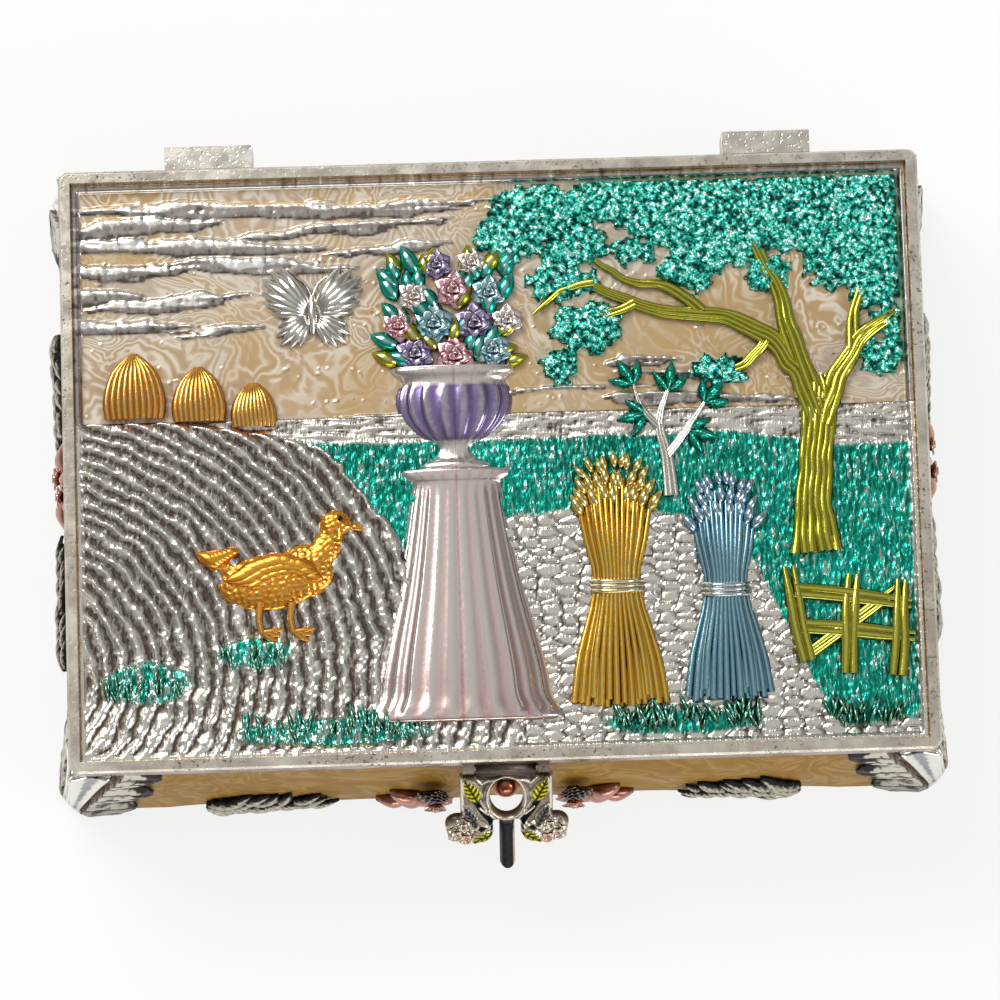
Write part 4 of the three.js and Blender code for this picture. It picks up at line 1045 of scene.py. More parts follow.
BOUQUET = bmesh.new()
dice = random.Random(5)
PINK, SKY_BLUE, PALE = (0.66, 0.27, 0.34), (0.16, 0.42, 0.52), (0.72, 0.62, 0.60)
leaf_places = [(URN_X + dice.uniform(-8, 8), dice.uniform(14, 29)) for _ in range(46)]
for x, y in leaf_places:
    turn = math.atan2(-(x - URN_X), (y - 12)) + dice.uniform(-0.6, 0.6)
    leaf(BOUQUET, x, MIDDLE_Y + y, FIELD_Z + 0.6, dice.uniform(3.4, 5.2), turn, TEAL if dice.random() < 0.7 else OLIVE)
BLOOMS = [(-5.5, 16.2, 3.0, LAVENDER), (0.4, 15.6, 3.2, PINK), (6, 16.5, 2.9, SKY_BLUE), (-7.8, 20.4, 2.6, PINK),
          (-2.6, 20.6, 3.2, SKY_BLUE), (3.4, 20.4, 3.2, LAVENDER), (8.2, 20.8, 2.5, PALE), (-5.4, 24.8, 2.7, PALE),
          (0.4, 25.6, 3.0, PINK), (5.6, 25.0, 2.7, SKY_BLUE), (-2.0, 29.4, 2.4, LAVENDER), (3.2, 29.6, 2.3, PALE)]
for x, y, size, colour in BLOOMS:
    rose(BOUQUET, URN_X + x, MIDDLE_Y + y, FIELD_Z + 1.0, size, colour, dice, flat=0.62)
bouquet = finish_piece("bouquet", BOUQUET, relief_paint, "lid")

# %% [markdown]
# ## Sheaves
#
# Two tied sheaves stand to the right of the urn: a gold one of straw and a pale blue one of
# larkspur. A sheaf is a bundle of cords that pass through a narrow waist and flare at both ends,
# with a twisted band at the waist and heads at the top.

# %% Sheaves of straw and larkspur
GOLD = (0.74, 0.47, 0.03)
BLUE = (0.20, 0.42, 0.52)


def sheaf(name, x, foot, waist, top, widths, colour, head_colour, heads, seed):
    dice = random.Random(seed)
    foot_width, waist_width, head_width = widths
    splines = []
    layers = ((15, 0.5, 1.0), (12, 1.1, 0.84), (8, 1.55, 0.62))
    for count, lift, narrow in layers:
        for k in range(count):
            across = ((k + 0.5) / count * 2 - 1) * narrow
            bulge = math.sqrt(max(0.0, 1 - across * across))
            low = foot + dice.uniform(-0.4, 1.4)
            high = top + dice.uniform(-2.2, 0.6) - 2.0 * across * across
            path = [(x + across * foot_width / 2, low, lift * 0.55 * bulge + 0.25),
                    (x + across * (foot_width * 0.72 + waist_width * 0.28) / 2, low + (waist - low) * 0.4, lift * bulge * 0.9 + 0.25),
                    (x + across * waist_width / 2, waist, lift * bulge + 0.3),
                    (x + across * (head_width * 0.6 + waist_width * 0.4) / 2, waist + (high - waist) * 0.5, lift * bulge + 0.3),
                    (x + across * head_width / 2 * 1.06, high, lift * 0.6 * bulge + 0.3)]
            size = 0.42 + 0.10 * dice.random()
            splines.append((path, (size * 1.25, size * 1.1, size * 0.8, size * 0.95, size * 0.6)))
    bm = bmesh.new()
    stems = stamp(bm, cords_mesh(splines), placed(0, MIDDLE_Y, FIELD_Z))
    paint_cords(bm, stems, colour)
    band = []
    for k in range(3):
        y = waist - 0.7 + 0.7 * k
        band.append(([(x - waist_width * 0.56, y, 0.5), (x - waist_width * 0.35, y - 0.2, 1.9), (x, y - 0.3, 2.25),
                      (x + waist_width * 0.35, y - 0.2, 1.9), (x + waist_width * 0.56, y, 0.5)], (0.4,) * 5))
    tie = stamp(bm, cords_mesh(band), placed(0, MIDDLE_Y, FIELD_Z))
    paint(bm, tie, head_colour, 0.5, 0.8)
    for k in range(heads):
        t = (k + 0.5) / heads * 2 - 1
        for row in range(3):
            size = 1.9 - 0.25 * row
            px = x + t * head_width / 2 * (1.0 - 0.12 * row) + dice.uniform(-0.3, 0.3)
            py = top - 4.6 + 2.5 * row - 1.6 * t * t + dice.uniform(-0.4, 0.4)
            leaf(bm, px, MIDDLE_Y + py, FIELD_Z + 1.0 + 0.15 * row, size * 1.9, -t * 0.7 + dice.uniform(-0.2, 0.2),
                 head_colour, 0.9, fat=0.85, height=1.2)
    return finish_piece(name, bm, relief_paint, "lid")


straw_sheaf = sheaf("straw_sheaf", 17.0, -36.5, -19.0, -2.5, (14.5, 6.6, 11.0), GOLD, (0.70, 0.55, 0.10), 9, 11)
larkspur_sheaf = sheaf("larkspur_sheaf", 33.0, -36.0, -20.0, -5.5, (13.0, 6.0, 9.5), BLUE, (0.30, 0.50, 0.62), 8, 12)

# %% [markdown]
# ## The gold duck
#
# The duck is a relief of its own: domes for body, neck and head flow into each other, because their
# heights are added as high powers before the root is taken, which rounds the joins. Small scales of
# noise make the breast feathers, and the wing's long feathers are stamped leaves in three rows.

# %% Duck
ORANGE_GOLD = (0.80, 0.37, 0.014)
DUCK = [(-33.5, -17.0, 8.2, 4.6, 0.10, 1.9), (-28.5, -15.6, 4.6, 4.4, 0.5, 1.8), (-25.4, -12.2, 2.5, 3.9, -0.45, 1.55),
        (-23.9, -8.8, 2.7, 2.4, 0.1, 1.75), (-20.9, -9.3, 2.4, 0.85, -0.12, 0.95), (-41.2, -14.2, 3.6, 1.7, -0.5, 1.1)]


def domes(x, y, parts, power=5):
    total, mask = np.zeros_like(x), np.full(x.shape, -9.0)
    for cx, cy, rx, ry, turn, height in parts:
        u = (x - cx) * math.cos(turn) + (y - cy) * math.sin(turn)
        v = (y - cy) * math.cos(turn) - (x - cx) * math.sin(turn)
        depth = 1 - (u / rx) ** 2 - (v / ry) ** 2
        total += (height * np.sqrt(np.clip(depth, 0, 1))) ** power
        mask = np.maximum(mask, depth)
    return total ** (1 / power), mask


def duck_shape(x, y):
    height, mask = domes(x, y, DUCK)
    near, after, number = stones(x * 0.95 + y * 0.3, y * 1.25 - x * 0.2, 90)
    scale = ease((after - near) / 0.35)
    height = height + 0.16 * scale * np.clip(height, 0, 1)
    rise = np.clip(0.22 + 0.5 * scale, 0, 1)
    return mask, height, rise, np.tile(ORANGE_GOLD, (len(x), 1)), np.full(x.shape, 0.95)


duck = relief_patch("duck", (-47, -17, -23, -5), 0.22, duck_shape, relief_paint)

feathers = bmesh.new()
paint_layers(feathers)
dice = random.Random(3)
for row, (count, length) in enumerate(((9, 5.6), (8, 4.6), (7, 3.4))):
    for k in range(count):
        t = k / (count - 1)
        x = -37.6 + 8.2 * t + 0.9 * row
        y = -16.9 + 2.4 * t * (1 - t) * 2 - 0.75 * row + 1.5
        turn = math.pi / 2 + 0.30 - 0.5 * t + dice.uniform(-0.05, 0.05)
        new = leaf(feathers, x + 2.6 - 0.4 * row, MIDDLE_Y + y, FIELD_Z + 1.7 + 0.06 * row, length, turn, ORANGE_GOLD, 0.95, fat=0.8,
                   height=0.55)
for k in range(6):
    leaf(feathers, -40.5 + 0.5 * k, MIDDLE_Y - 14.6 + 0.45 * k, FIELD_Z + 0.9, 4.6 - 0.3 * k, 1.05 + 0.13 * k, ORANGE_GOLD, 0.95)
gold_ridges = paint_layers(feathers)[1]
for vert in feathers.verts:
    vert[gold_ridges] *= 0.72
eye = bmesh.ops.create_icosphere(feathers, subdivisions=2, radius=0.42, matrix=placed(-23.2, MIDDLE_Y - 8.1, FIELD_Z + 1.75))["verts"]
paint(feathers, eye, (0.02, 0.01, 0.005), 1.0, 0.5)
feet = []
for x in (-35.2, -30.6):
    feet.append(([(x, -20.2, 1.3), (x - 0.2, -22.6, 1.3), (x + 0.2, -24.6, 1.25)], (0.65, 0.55, 0.55)))
    for toe in (-0.5, 0.35, 1.2):
        feet.append(([(x + 0.2, -24.5, 1.25), (x + 1.4 + toe * 0.4, -25.0 + 0.6 * toe, 1.2),
                      (x + 2.6 + toe * 0.5, -25.3 + 1.0 * toe, 1.1)], (0.5, 0.48, 0.35)))
new = stamp(feathers, cords_mesh(feet), placed(0, MIDDLE_Y, FIELD_Z))
paint(feathers, new, ORANGE_GOLD, 0.9, 0.6)
duck_feathers = finish_piece("duck_feathers", feathers, relief_paint, "lid")

# %% [markdown]
# ## Haystacks, butterfly, hurdle, sapling and grass
#
# All of these are cords and leaves again. The haystacks are fans of straw that meet at the top. The
# butterfly's wings are plain silver leaves. The hurdle is olive like the tree, and the tufts along
# the foot are many narrow leaves whose ridges stay bare.

# %% Haystacks and butterfly
def haystack(splines, x, y, width, tall, count):
    for k in range(count):
        t = (k + 0.5) / count * 2 - 1
        bulge = math.sqrt(max(0.0, 1 - t * t))
        splines.append(([(x + t * 0.4, y + tall, 0.6), (x + t * width * 0.36, y + tall * 0.72, 0.5 + 0.9 * bulge),
                         (x + t * width * 0.5, y + tall * 0.3, 0.4 + 1.1 * bulge), (x + t * width * 0.47, y, 0.4 + 0.9 * bulge)],
                        (0.3, 0.5, 0.62, 0.55)))


stacks = bmesh.new()
stack_cords = []
for x, y, width, tall in ((-53, 7.6, 9.0, 9.6), (-43.5, 7.0, 7.6, 8.0), (-35.5, 6.0, 6.2, 6.4)):
    haystack(stack_cords, x, y, width, tall, 10)
new = stamp(stacks, cords_mesh(stack_cords), placed(0, MIDDLE_Y, FIELD_Z + 0.1))
paint_cords(stacks, new, (0.72, 0.36, 0.04))
haystacks = finish_piece("haystacks", stacks, relief_paint, "lid")

butterfly = bmesh.new()
WINGS = [(1.05, 7.9), (0.86, 8.7), (0.66, 8.8), (0.46, 8.0), (0.26, 6.9), (0.05, 5.6), (-0.3, 5.0), (-0.52, 5.9), (-0.75, 6.2),
         (-0.98, 5.6), (-1.2, 4.6)]
for side in (1, -1):
    for lift, length in WINGS:
        turn = side * (lift - math.pi / 2)
        leaf(butterfly, -26.5 + side * 0.4, MIDDLE_Y + 22.5 + 0.35 * lift, FIELD_Z + 0.35, length, turn, PALE, 0.0, fat=0.62, height=0.95)
wire = [([(-26.5, 19.6, 0.9), (-26.5, 22.5, 1.2), (-26.5, 25.2, 0.9)], (0.35, 0.75, 0.5))]
for side in (1, -1):
    wire.append(([(-26.5, 25.0, 0.9), (-26.5 + side * 1.0, 27.2, 0.7), (-26.5 + side * 2.4, 28.2, 0.5)], (0.22, 0.2, 0.28)))
new = stamp(butterfly, cords_mesh(wire), placed(0, MIDDLE_Y, FIELD_Z))
paint(butterfly, new, PALE, 0.0, 0.7)
butterfly = finish_piece("butterfly", butterfly, relief_paint, "lid")

# %% Hurdle, sapling and grass
hurdle = bmesh.new()
rails = []
for foot, head, width in (((44.5, -31), (42.2, -17), 2.4), ((50.5, -33), (51.5, -18.5), 2.4), ((57.5, -33.5), (58.8, -19.5), 2.3),
                          ((43.0, -20.5), (60.0, -23.0), 2.0), ((43.8, -25.8), (60.3, -27.8), 2.0), ((44.6, -30.0), (58.0, -20.8), 1.7)):
    fine = wavy([foot, head], int(width * 10), 0.15, 3)
    rails += bundle(fine, [width] * len(fine), 2, base=0.5, top=0.8, seed=int(foot[0]))
new = stamp(hurdle, cords_mesh(rails), placed(0, MIDDLE_Y, FIELD_Z + 0.1))
paint_cords(hurdle, new, OLIVE, 0.9)
hurdle = finish_piece("hurdle", hurdle, olive_wood, "lid")

BRIGHT_TEAL = (0.008, 0.40, 0.30)
sapling = bmesh.new()
twigs = bundle([(25.5, -6), (25.0, 0), (24.0, 5), (25.6, 10)], (2.0, 1.6, 1.1, 0.5), 3, seed=4)
twigs += bundle([(25.0, 0), (28.0, 3.5), (31.0, 8.0)], (1.2, 0.9, 0.4), 2, seed=5)
twigs += bundle([(24.3, 4), (21.6, 7.0), (20.4, 11)], (1.0, 0.7, 0.3), 2, seed=6)
new = stamp(sapling, cords_mesh(twigs), placed(0, MIDDLE_Y, FIELD_Z + 0.1))
paint(sapling, new, PALE, 0.0, 0.6)
for x, y, turn in ((30.8, 7.6, -0.75), (25.6, 9.6, -0.15), (20.5, 10.6, 0.55), (22.2, 6.2, 1.75), (28.4, 3.6, -1.85)):
    for k in (-1, 1, 0):
        leaf(sapling, x, MIDDLE_Y + y, FIELD_Z + 0.75 + 0.1 * (k == 0), 4.5 - 0.7 * abs(k), turn + 0.8 * k, BRIGHT_TEAL, 1.0,
             fat=1.0, height=1.5, mesh=veined_mesh)
sapling = finish_piece("sapling", sapling, relief_paint, "lid")

LUSH_GREEN = (0.006, 0.25, 0.15)
grass = bmesh.new()
dice = random.Random(8)
for x0, x1, y, count in ((15, 37, -40.2, 60), (-38, -12, -40.6, 70), (47, 58, -40.4, 22), (-58, -47, -33.6, 22), (-41, -32, -30.0, 18)):
    for k in range(count):
        t = dice.random()
        x = x0 + (x1 - x0) * t
        leaf(grass, x, MIDDLE_Y + y + dice.uniform(-0.7, 1.5), FIELD_Z + 0.35 + 0.5 * dice.random(), dice.uniform(2.2, 4.2),
             dice.uniform(-0.55, 0.55), LUSH_GREEN if dice.random() < 0.6 else TEAL, 0.95, fat=0.42, height=1.5)
grass = finish_piece("grass_tufts", grass, relief_paint, "lid")

# %% [markdown]
# ## Corner legs
#
# Each leg is a casting that wraps the corner: a hollow polished facet that narrows from under the lid
# down to the foot, and on both sides three leaf lobes with a crease along the middle. One half is
# drawn as a flat relief, with the distance from the corner as x and the height above the floor as y.
# It is then bent onto the leaning wall, and mirrored to the other wall and to the other corners.

# %% Walls, and how a flat ornament is bent onto them
GAP = 0.3
BODY_LENGTH, BODY_DEPTH = 124.0, 86.0
FLARE = 4.1
WALLS = {"front": (0.0, BODY_LENGTH, BODY_DEPTH / 2), "right": (math.pi / 2, BODY_DEPTH, BODY_LENGTH / 2),
         "back": (math.pi, BODY_LENGTH, BODY_DEPTH / 2), "left": (-math.pi / 2, BODY_DEPTH, BODY_LENGTH / 2)}


def lean(height):
    return FLARE * (SEAM - height) / (SEAM - APRON)


def on_wall(wall, along, height, out):
    turn, _, reach = WALLS[wall]
    depth = -reach - GAP
    x = along * math.cos(turn) - depth * math.sin(turn)
    y = along * math.sin(turn) + depth * math.cos(turn)
    spread = lean(height)
    x, y = x * (1 + 2 * spread / BODY_LENGTH), y * (1 + 2 * spread / BODY_DEPTH)
    return Vector((x + out * math.sin(turn), y - out * math.cos(turn) + MIDDLE_Y, height))


def bend_to_wall(bm, wall, verts=None):
    for vert in verts or bm.verts:
        vert.co = on_wall(wall, vert.co.x, vert.co.y, vert.co.z)


print("walls lean out %.2f mm at the floor" % lean(0))

# %% One half of a leg
LEG_TOP = SEAM - GAP
COPPER_BROWN = (0.30, 0.19, 0.12)
LOBE_REACH = 12.4
FOOT_ROUND, FOOT_RISE = 6.5, 20.0
LOBES = [(26.2, 8.6, 4.2), (17.0, 8.9, 4.5), (7.9, 8.2, 4.3)]


def leg_reach(t):
    return 0.9 + 0.9 * (1 - t) ** 4 + 1.0 * t ** 3


def leg_root(t):
    return 1.6 + 5.6 * t ** 1.15


def half_leg(s, z):
    """Mask, height above the wall, rise and whether it is the facet, for points of the flat drawing."""
    t = np.clip(z / LEG_TOP, 0, 1)
    reach, root = leg_reach(t), leg_root(t)
    across = np.clip(s / root, 0, 1)
    hollow = np.sin(math.pi * np.clip(across / 0.72, 0, 1)) ** 1.5
    groove = ease((across - 0.74) / 0.08) * (s <= root)
    line = np.exp(-((across - 0.75) / 0.035) ** 2)
    facet = reach - 0.6 * hollow * (0.35 + 0.65 * t) - groove * (0.45 + 0.75 * t)
    corner = 0.5 + 2.2 * (1 - t) ** 2
    facet -= corner * (1 - np.sqrt(np.clip(1 - np.clip(1 - s / corner, 0, 1) ** 2, 0, 1))) * 0.8
    mask, lobe, rise = root + 0.35 - s, np.zeros_like(s), np.full(s.shape, 0.75)
    worn = drift(s * 1.3, z * 1.0, 61, 3) - 0.5
    warp = 1.1 * (drift(s * 0.5, z * 0.35, 63, 2) - 0.5)
    mask = np.where(z > 0, mask, -1.0)
    for middle, length, half in LOBES:
        bend = 0.035 * (s - root) ** 2 - 0.06 * (s - root)
        v = (z - middle + bend + warp) / half
        u = (s - root * 0.7) / (length + 0.4)
        taper = np.sqrt(np.clip(1 - np.clip(u, 0, 1) ** 2.6, 0, 1))
        inside_lobe = np.where((u > -0.1) & (u < 1), 1 - np.abs(v) / np.maximum(taper, 0.01), -1)
        flute = 0.5 + 0.5 * np.cos(2 * math.pi * np.clip(np.abs(v) / np.maximum(taper, 0.01), 0, 1) * 1.5)
        dome = np.sqrt(np.clip(inside_lobe * 2, 0, 1)) * (0.55 + 1.25 * np.sqrt(np.clip(1 - u, 0, 1)))
        height = dome * (0.72 + 0.28 * flute) * (1 - 0.35 * ease((u - 0.72) / 0.28)) + 0.35 * worn * inside_lobe
        mask = np.maximum(mask, inside_lobe * half * taper)
        shine = 0.1 + (0.75 + 2.4 * worn) * flute * np.clip(inside_lobe * 3, 0, 1)
        rise = np.where((height > lobe) & (inside_lobe > 0), shine, rise)
        lobe = np.maximum(lobe, height)
    on_facet = s <= root
    height = np.where(on_facet, np.maximum(facet, 0.25), np.maximum(lobe, 0.12))
    foot = np.clip(1 - z / 1.6, 0, 1)
    height = np.maximum(height - 0.8 * (1 - np.sqrt(1 - foot ** 2)), 0.08)
    # Painted dark reflection in the middle of the polished hollow facet, painted shadow along the thin groove line, and
    # painted shade on the lowest 1.6 mm towards the floor.
    facet_dark_reflection = hollow * ease((across - 0.12) / 0.25) * (0.55 + 0.45 * t)
    facet_rise = 1.0 - 1.15 * facet_dark_reflection + 0.6 * worn - 0.6 * foot
    facet_rise = np.where(across > 0.74, 0.5 + 0.6 * worn, facet_rise) - line
    rise = np.where(on_facet, facet_rise, rise - 1.1 * ease((s - 8.6) / 2.2) - 0.5 * foot)
    return mask, height, np.clip(rise, 0, 1), on_facet, groove


def leg_template():
    bm = bmesh.new()
    bmesh.ops.create_grid(bm, x_segments=60, y_segments=128, size=0.5)
    bmesh.ops.transform(bm, matrix=placed(0.5, 0.5), verts=bm.verts)
    bmesh.ops.transform(bm, matrix=placed(scale=(LOBE_REACH, LEG_TOP, 1)), verts=bm.verts)
    s = np.array([vert.co.x for vert in bm.verts])
    z = np.array([vert.co.y for vert in bm.verts])
    mask, height, rise, on_facet, groove = half_leg(s, z + 1e-4)
    lacquer, rise_layer = paint_layers(bm)
    for i, vert in enumerate(bm.verts):
        vert.co.z = height[i]
        vert[rise_layer] = rise[i]
        vert[lacquer] = (*COPPER_BROWN, 0.85 * groove[i] if on_facet[i] else 0.0)
    polished = {vert.index for i, vert in enumerate(bm.verts) if on_facet[i]}
    for face in bm.faces:
        face.material_index = 1 if all(vert.index in polished for vert in face.verts) else 0
    bmesh.ops.delete(bm, geom=[vert for i, vert in enumerate(bm.verts) if mask[i] <= 0], context="VERTS")
    close_below(bm, 0)
    for vert in bm.verts:
        if vert.co.z < 0.02:
            vert.co.z = 0.0
    return bm


def leg_on_corner(bm):
    """Bends the flat half leg onto the front wall at its right end, with its edge on the diagonal."""
    for vert in bm.verts:
        s, z, h = vert.co
        far = -h + s / LOBE_REACH * (LOBE_REACH + h)
        corner_x, corner_y = BODY_LENGTH / 2 + lean(z), BODY_DEPTH / 2 + lean(z)
        vert.co = (corner_x + GAP - far, -corner_y - GAP - h, z)
    pad = bmesh.ops.create_cube(bm, size=1)["verts"]
    foot = leg_root(0) + 0.9
    out_x, out_y = BODY_LENGTH / 2 + lean(0) + GAP, BODY_DEPTH / 2 + lean(0) + GAP
    middle = (out_x - foot / 2 + 0.1, -out_y + foot / 2 - 0.1, 1.28)
    bmesh.ops.transform(bm, matrix=placed(*middle, scale=(foot, foot, 2.5)), verts=pad)
    paint(bm, pad, COPPER_BROWN, 0.0, 0.6)
    around = {edge for vert in pad for edge in vert.link_edges}
    bmesh.ops.bevel(bm, geom=list(around), offset=0.35, segments=3, profile=0.5, affect="EDGES", material=-1)
    centre = Vector((out_x - FOOT_ROUND, FOOT_ROUND - out_y))
    radius = FOOT_ROUND + 0.6 * leg_reach(0)
    for vert in bm.verts:
        away = vert.co.xy - centre
        if away.x > 0 and away.y < 0 and away.length > radius:
            vert.co.xy -= away * (1 - radius / away.length) * float(ease(1 - vert.co.z / FOOT_RISE))


leg_flat = leg_template()
leg_on_corner(leg_flat)
half = as_template("half_leg", leg_flat)
print("half a leg has", len(half.polygons), "faces")

# %% [markdown]
# The side half is the same drawing mirrored across the corner's diagonal, so x and y change places.
# Then the whole leg is mirrored to the left and to the back. A mirrored mesh is inside out, so its
# faces are turned round again after each mirror.

# %% Four legs
def mirrored_mesh(bm, template, matrix):
    first = len(bm.faces)
    stamp(bm, template, matrix)
    bm.faces.ensure_lookup_table()
    if matrix.determinant() < 0:
        bmesh.ops.reverse_faces(bm, faces=bm.faces[first:])


across_corner = Matrix(((0, -1, 0, BODY_LENGTH / 2 - BODY_DEPTH / 2), (-1, 0, 0, BODY_LENGTH / 2 - BODY_DEPTH / 2),
                        (0, 0, 1, 0), (0, 0, 0, 1)))
# The blue-black low tone of polished_silver is the facet's painted dark reflection, and both leg finishes paint shade
# on the bare metal towards the floor.
polished_silver = lacquered("polished_silver", (0.76, 0.72, 0.62), (0.022, 0.028, 0.040), 0.12, foot_shade_height=14.0)
leaf_silver = lacquered("leaf_silver", (0.62, 0.58, 0.49), (0.035, 0.03, 0.028), 0.26, coat=0.0, foot_shade_height=14.0)
spray_silver = lacquered("spray_silver", (0.52, 0.48, 0.40), (0.022, 0.021, 0.020), 0.32, coat=0.0)
for name, side_x, side_y in (("front_right", 1, 1), ("front_left", -1, 1), ("back_right", 1, -1), ("back_left", -1, -1)):
    leg = bmesh.new()
    paint_layers(leg)
    flip = Matrix.Diagonal((side_x, side_y, 1, 1))
    mirrored_mesh(leg, half, flip)
    mirrored_mesh(leg, half, flip @ across_corner)
    bmesh.ops.translate(leg, verts=leg.verts, vec=(0, MIDDLE_Y, 0))
    finish_piece("corner_leg_" + name, leg, [leaf_silver, polished_silver], "base", ["leg_" + name])

# %% [markdown]
# ## Plain castings
#
# The lid's frame, the hinges, the keeper and the pins already have the right shape in the packed
# model, but their edges are as sharp as knives. A cast edge is rounded and catches a thin line of
# light. Each of them but the hinge pins becomes a merged copy with its sharp edges bevelled. The hinge
# pins, the body's shell and the bottom plate keep their solids and only get their finish; the shell's
# and the plate's edges are hidden.

# %% Rounded castings
def finish_node(name, material):
    data = bpy.data.objects[name].data
    data.materials.clear()
    data.materials.append(material)


def merged_copy(name):
    bm = bmesh.new()
    bm.from_mesh(bpy.data.objects[name].data)
    bmesh.ops.transform(bm, matrix=Matrix.Scale(1 / MM, 4), verts=bm.verts)
    bmesh.ops.remove_doubles(bm, verts=bm.verts, dist=1e-3)
    bmesh.ops.dissolve_limit(bm, angle_limit=0.01, verts=bm.verts, edges=bm.edges)
    return bm


def round_edges(bm, radius, segments=2):
    sharp = [edge for edge in bm.edges if edge.calc_face_angle(0) > 0.6]
    bmesh.ops.bevel(bm, geom=sharp, offset=radius, segments=segments, profile=0.5, affect="EDGES", material=-1,
                    clamp_overlap=True)


def rounded(name, material, body, radius, rivets=()):
    bm = merged_copy(name)
    round_edges(bm, radius)
    for place, turn in rivets:
        head = bmesh.ops.create_uvsphere(bm, u_segments=20, v_segments=10, radius=1)["verts"]
        bmesh.ops.transform(bm, matrix=Matrix.Translation(place) @ turn @ Matrix.Diagonal((1.05, 1.05, 0.55, 1)), verts=head)
    return finish_piece("cast_" + name, bm, material, body, [name], smooth=False)


rounded("lid_frame", rim_silver, "lid", 0.28)
rounded("keeper_plate", silver, "base", 0.15)
rounded("hasp_pin", steel, "lid", 0.12)
upright = Matrix.Rotation(math.pi / 2, 4, "X")
for end in ("left", "right"):
    low, high = (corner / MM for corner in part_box("hinge_body_leaf_" + end))
    outer = high.y
    spots = [(Vector((low.x + (high.x - low.x) * share, shell_high.y + 0.15, low.z + 2.3)), upright) for share in (0.24, 0.76)]
    rounded("hinge_body_leaf_" + end, hinge_silver, "base", 0.15, spots)
    rounded("hinge_lid_leaf_" + end, hinge_silver, "lid", 0.15)
    finish_node("hinge_pin_" + end, steel)
finish_node("body_shell", shell_enamel)
finish_node("bottom_plate", silver)

# %% [markdown]
# The enamel on the walls was poured into its cells, so it fills them to their edges and swells a
# little. Each panel is a merged copy of its solid, grown sideways over the clearance round it. The
# ball of the catch is a turned knob with a warm copper tone.

# %% Poured enamel and the catch's ball
ENAMEL_GROWTH = 0.34


def poured_enamel(name, outward):
    bm = merged_copy(name)
    low, high = (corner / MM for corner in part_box(name))
    middle, size = (low + high) / 2, high - low
    long_axis = 0 if abs(outward.y) > 0.5 else 1
    upright = 1 + 2 * ENAMEL_GROWTH / size.z
    grown = Vector((upright, upright, upright))
    grown[long_axis] = 1 + 2 * ENAMEL_GROWTH / size[long_axis]
    for vert in bm.verts:
        away = vert.co - middle
        vert.co = middle + Vector((away.x * grown.x, away.y * grown.y, away.z * grown.z)) + outward * 0.05
    round_edges(bm, 0.12)
    return finish_piece("poured_" + name, bm, wall_enamel, "base", [name])


for name, outward in (("enamel_front", Vector((0, -1, 0))), ("enamel_back", Vector((0, 1, 0))),
                      ("enamel_left", Vector((-1, 0, 0))), ("enamel_right", Vector((1, 0, 0)))):
    poured_enamel(name, outward)

stud_low, stud_high = (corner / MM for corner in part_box("catch_stud"))
BALL_RADIUS = (stud_high.z - stud_low.z) / 2
ball = bmesh.new()
middle = Vector((0, stud_low.y + BALL_RADIUS, (stud_low.z + stud_high.z) / 2))
profile = [(0, -BALL_RADIUS), (0.35 * BALL_RADIUS, -0.94 * BALL_RADIUS), (0.71 * BALL_RADIUS, -0.71 * BALL_RADIUS),
           (0.94 * BALL_RADIUS, -0.35 * BALL_RADIUS), (BALL_RADIUS, 0), (0.94 * BALL_RADIUS, 0.35 * BALL_RADIUS),
           (0.71 * BALL_RADIUS, 0.71 * BALL_RADIUS), (0.5 * BALL_RADIUS, 0.93 * BALL_RADIUS), (0.45 * BALL_RADIUS, 1.3 * BALL_RADIUS),
           (0.45 * BALL_RADIUS, stud_high.y - middle.y), (0, stud_high.y - middle.y)]
outline = [ball.verts.new((radius, along, 0)) for radius, along in smooth_line(profile)]
rings = [ball.edges.new(pair) for pair in zip(outline, outline[1:])]
bmesh.ops.spin(ball, geom=outline + rings, cent=(0, 0, 0), axis=(0, 1, 0), angle=2 * math.pi, steps=40, use_merge=True)
bmesh.ops.remove_doubles(ball, verts=ball.verts, dist=1e-4)
bmesh.ops.recalc_face_normals(ball, faces=ball.faces)
bmesh.ops.translate(ball, verts=ball.verts, vec=middle)
ball_copper = polished_metal("copper_toned_ball", (0.36, 0.12, 0.065), 0.2, 600)
finish_piece("catch_ball", ball, ball_copper, "base", ["catch_stud"])

# %% [markdown]
# ## Leaf sprays and flowers on the walls
#
# A spray is a row of long, narrow acanthus leaves that overlap like feathers and point away from the
# corner. It is laid out flat with the leaf template and then bent onto its wall. The same flat layout
# serves all four walls, so the short sides get the spray that fits them too.

# %% Sprays along the foot of the walls
SPRAY_ROWS = ((-1.1, 0.05, 7, 5.4, 0.3), (1.2, 0.1, 8, 6.2, -0.75), (0.2, 0.35, 7, 6.4, -0.25))
SPRAY_START = 0.21 * BODY_DEPTH
SPRAY_LENGTH = 16.5
SPRAY_HEIGHT = APRON + 2.6
SILVER_GREY = (0.5, 0.45, 0.35)


def frond(bm, x, y, z, length, turn, fat):
    """One silver leaf over a larger black one, which leaves a dark line round it."""
    shade = stamp(bm, frond_mesh, placed(x, y, z - 0.15, turn, (length * fat * 1.5, length * 1.08, length * 0.8)))
    paint(bm, shade, SILVER_GREY, 0.0, 0.0)
    bright = stamp(bm, frond_mesh, placed(x, y, z, turn, (length * fat, length, length * 0.9)))
    tinted(bm, bright, SILVER_GREY, 0.0)


